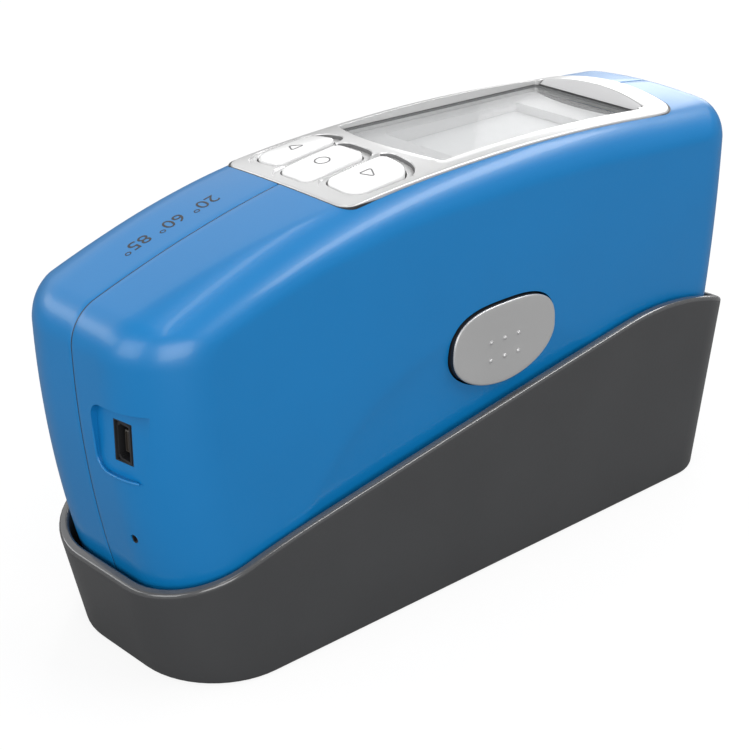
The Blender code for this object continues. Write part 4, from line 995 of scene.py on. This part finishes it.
KEY_PROUD = 0.5
key_white = grained("key_white", (0.8, 0.8, 0.8), 0.16, 800.0, 0.015, 0.0, 0.01, 0.3)
mark_grey = grained("mark_grey", (0.12, 0.12, 0.125), 0.5, 1500.0, 0.05)


def stroke(name, path, width, out, look):
    """Thin raised line along a path of points on the top surface."""
    outer = inset_loop(path, -width / 2)
    inner = inset_loop(path, width / 2)
    rings = []
    for ring, rise in ((outer, 0.01), (outer, 0.04), (inner, 0.04), (inner, 0.01), (outer, 0.01)):
        rings.append([(x, y, surface(x, y) + out + rise) for x, y in ring])
    return solid(name, *skin(rings, (False, False)), look, 30.0)


for name, index in KEYS:
    cap = pillow(f"cap_{name}", key_edge(index), along(KEY_PROUD), along(-1.9), 0.7, key_white, 0.7,
                 40, 6)
    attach(cap, name)
    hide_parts(name)
    x, y = key_centre(index)
    if index:
        foot = y - 1.1 * index
        path = rounded([(x, y + 1.7 * index, 0.35), (x - 1.6, foot, 0.35), (x + 1.6, foot, 0.35)], 4)
    else:
        path = circle((x, y), 1.5)
    mark = stroke(f"mark_{name}", spaced(path, 0.4), 0.3, KEY_PROUD, mark_grey)
    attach(mark, name)


# Printed angles
# The three measuring angles, pad printed in dark grey on the far half behind the keys.

PRINT_START, PRINT_LENGTH = (-42.6, 8.3), 22.6
text = bpy.data.curves.new("angles", "FONT")
text.body = "20\u00b0 60\u00b0 85\u00b0"
text.size = 4.4
text.extrude = 0.012
text.resolution_u = 3
holder = placed("angles", text)
bpy.context.view_layer.update()
flat = plain_mesh(holder)
bpy.data.objects.remove(holder)
wide = max(v.co.x for v in flat.vertices)
verts = []
for v in flat.vertices:
    x, y = PRINT_START[0] - PRINT_LENGTH * v.co.x / wide, PRINT_START[1] - v.co.y
    verts.append((x, y, surface(x, y) + 0.02 + v.co.z))
print_dark = grained("print_dark", (0.03, 0.03, 0.032), 0.55, 1500.0, 0.05)
angles = solid("angle_print", verts, [tuple(f.vertices) for f in flat.polygons], print_dark, 30.0)
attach(angles, "meter_and_base")


# Test button
# A satin silver key on the near side, squarer above and rounder below, with six small domes
# that the fingertip finds without looking.

BUTTON_PROUD = 0.9
button_silver = grained("button_silver", (0.48, 0.48, 0.48), 0.38, 2600.0, 0.16, 0.45, 0.03)
face = -HALF_WIDTH - BUTTON_PROUD


def to_side(x, z, out):
    return x, face - out, z


button = pillow("button_cap", button_edge(), lambda x, z: 0.0, lambda x, z: -2.6, 0.42, button_silver,
                0.9, 40, 5, to_side)
field = bpy.data.node_groups.new("dome_field", "GeometryNodeTree")
field.is_modifier = True
field.interface.new_socket(name="Geometry", in_out="INPUT", socket_type="NodeSocketGeometry")
for label, kind, value in (("Columns", "Int", 3), ("Rows", "Int", 2), ("Pitch", "Float", 0.004),
                          ("Radius", "Float", 0.0005), ("Finish", "Material", button_silver)):
    socket = field.interface.new_socket(name=label, in_out="INPUT", socket_type="NodeSocket" + kind)
    socket.default_value = value
field.interface.new_socket(name="Geometry", in_out="OUTPUT", socket_type="NodeSocketGeometry")
given = field.nodes.new("NodeGroupInput").outputs
spans = []
for name in ("Columns", "Rows"):
    gaps = field.nodes.new("ShaderNodeMath")
    gaps.operation = "SUBTRACT"
    gaps.inputs[1].default_value = 1.0
    field.links.new(given[name], gaps.inputs[0])
    span = field.nodes.new("ShaderNodeMath")
    span.operation = "MULTIPLY"
    field.links.new(gaps.outputs[0], span.inputs[0])
    field.links.new(given["Pitch"], span.inputs[1])
    spans.append(span.outputs[0])
spots = wire(field, "GeometryNodeMeshGrid", Size_X=spans[0], Size_Y=spans[1],
             Vertices_X=given["Columns"], Vertices_Y=given["Rows"])
dome = wire(field, "GeometryNodeMeshUVSphere", Segments=20, Rings=12, Radius=given["Radius"])
copies = wire(field, "GeometryNodeInstanceOnPoints", Points=spots.outputs["Mesh"],
              Instance=dome.outputs["Mesh"], Scale=(1.0, 1.0, 0.95))
turned = wire(field, "GeometryNodeTransform", Geometry=copies.outputs[0],
              Translation=(0.0057, face / 1000 + 0.00008, 0.05), Rotation=(math.pi / 2, 0.0, 0.0))
joined = wire(field, "GeometryNodeRealizeInstances", Geometry=turned.outputs[0])
coloured = wire(field, "GeometryNodeSetMaterial", Geometry=joined.outputs[0],
                Material=given["Finish"])
wire(field, "NodeGroupOutput", Geometry=coloured.outputs[0])
domes = solid("domes", [], [], button_silver)
domes.modifiers.new("field", "NODES").node_group = field
carve(button, [settle(domes)], "UNION")
button.data.set_sharp_from_angle(angle=math.radians(40.0))
# Painted shade: the cap's side wall and the steepest part of its rolled edge get black plastic, to
# stand for the shade in the gap round the cap.
button.data.materials.append(black_plastic)
for side in button.data.polygons:
    if abs(side.normal.y) < 0.4 and side.center.y > face / 1000:
        side.material_index = 1
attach(button, "test_button")
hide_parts("test_button")


# Calibration tile, sole plate and inner parts
# These stay as they were built: black glass, mouldings, boards, lamps, switches, the battery and
# the display's glass. Each gets the finish that its slot in the record calls for, black plastic where
# no such finish is made, and the reset plunger black plastic too.

finishes = {
    "tile_glass": grained("tile_glass", (0.008, 0.008, 0.009), 0.05, 400.0, 0.004),
    "black_plastic": black_plastic,
    "steel": grained("steel", (0.45, 0.45, 0.46), 0.32, 2000.0, 0.06, 0.9),
    "board_green": grained("board_green", (0.02, 0.12, 0.05), 0.4, 1100.0, 0.1),
    "battery_wrap": grained("battery_wrap", (0.03, 0.04, 0.06), 0.45, 900.0, 0.05),
    "lcd_grey": lcd_grey,
    "silver_panel": silver,
    "button_silver": button_silver,
}
slots = {entry["node"]: entry["material_slot"] for entry in frame["record"]["subparts"]}
for name, item in nodes.items():
    look = finishes.get(slots.get(name), finishes["black_plastic"])
    if name == "reset_plunger":
        look = black_plastic
    item.data.materials.clear()
    item.data.materials.append(look)


# Studio
# A pale floor and a white surround. Seven soft lamps: a broad box and two cards on the far side,
# a long strip and a fill on the near side, a fill at the rear and a narrow one overhead. The
# camera stands where the photograph was taken from.

def aimed(spot, target):
    """Place at a spot, turned to look at a target."""
    spot, target = Vector(spot), Vector(target)
    return Matrix.Translation(spot) @ (target - spot).to_track_quat("-Z", "Y").to_matrix().to_4x4()


def split_view(tree, lit, seen, output):
    """One shader for the light that comes off a thing and another for what the camera sees."""
    path = wire(tree, "ShaderNodeLightPath")
    mix = wire(tree, "ShaderNodeMixShader", Fac=path.outputs["Is Camera Ray"])
    tree.links.new(lit.outputs[0], mix.inputs[1])
    tree.links.new(seen.outputs[0], mix.inputs[2])
    wire(tree, tree.nodes[output], Surface=mix.outputs[0])


camera_data = bpy.data.cameras.new("camera")
camera_data.lens = 90.39
camera_data.sensor_width = 36.0
camera_data.clip_start = 0.01
camera = placed("camera", camera_data)
camera.matrix_world = aimed((-0.25045, -0.26546, 0.20423), (-0.008, 0.0, 0.03966))
bpy.context.scene.camera = camera

world = bpy.data.worlds.new("studio")
bpy.context.scene.world = world
world.use_nodes = True
tree = world.node_tree
surround = wire(tree, tree.nodes["Background"], Color=(1.0, 1.0, 1.0, 1.0), Strength=0.3)
split_view(tree, surround, wire(tree, "ShaderNodeBackground", Strength=1.0), "World Output")

floor_look, tree, shader = finish("floor")
wire(tree, shader, Base_Color=(0.9, 0.9, 0.9, 1.0), Roughness=0.9, Specular_IOR_Level=0.0)
glow = wire(tree, "ShaderNodeEmission", Strength=1.0)
dim = wire(tree, "ShaderNodeBsdfDiffuse", Color=(0.22, 0.22, 0.22, 1.0))
white = wire(tree, "ShaderNodeMixShader", Fac=0.85)
tree.links.new(shader.outputs[0], white.inputs[1])
tree.links.new(glow.outputs[0], white.inputs[2])
split_view(tree, dim, white, "Material Output")
ground = solid("ground", [(-4000, -4000, 0), (4000, -4000, 0), (4000, 4000, 0), (-4000, 4000, 0)],
               [(0, 1, 2, 3)], floor_look)

for name, spot, size, power in (
        ("back_box", (0.1, 0.75, 0.52), (1.6, 0.45), 2.1),
        ("far_card", (0.92, 0.56, 0.42), (0.45, 0.6), 3.2),
        ("rear_card", (-0.66, 0.75, 0.46), (0.8, 0.3), 2.3),
        ("fillet_strip", (0.45, -0.3, 0.66), (0.9, 0.14), 4.5),
        ("near_fill", (-0.5, -0.88, 0.32), (0.8, 0.6), 7.3),
        ("rear_fill", (-0.85, 0.0, 0.35), (0.5, 0.5), 2.7),
        ("overhead", (-0.05, 0.05, 0.9), (1.2, 0.07), 1.9)):
    light = bpy.data.lights.new(name, "AREA")
    light.shape = "RECTANGLE"
    light.size, light.size_y = size
    light.energy = power
    placed(name, light).matrix_world = aimed(spot, (0.0, 0.0, 0.05))

bpy.context.scene.view_settings.view_transform = "Standard"
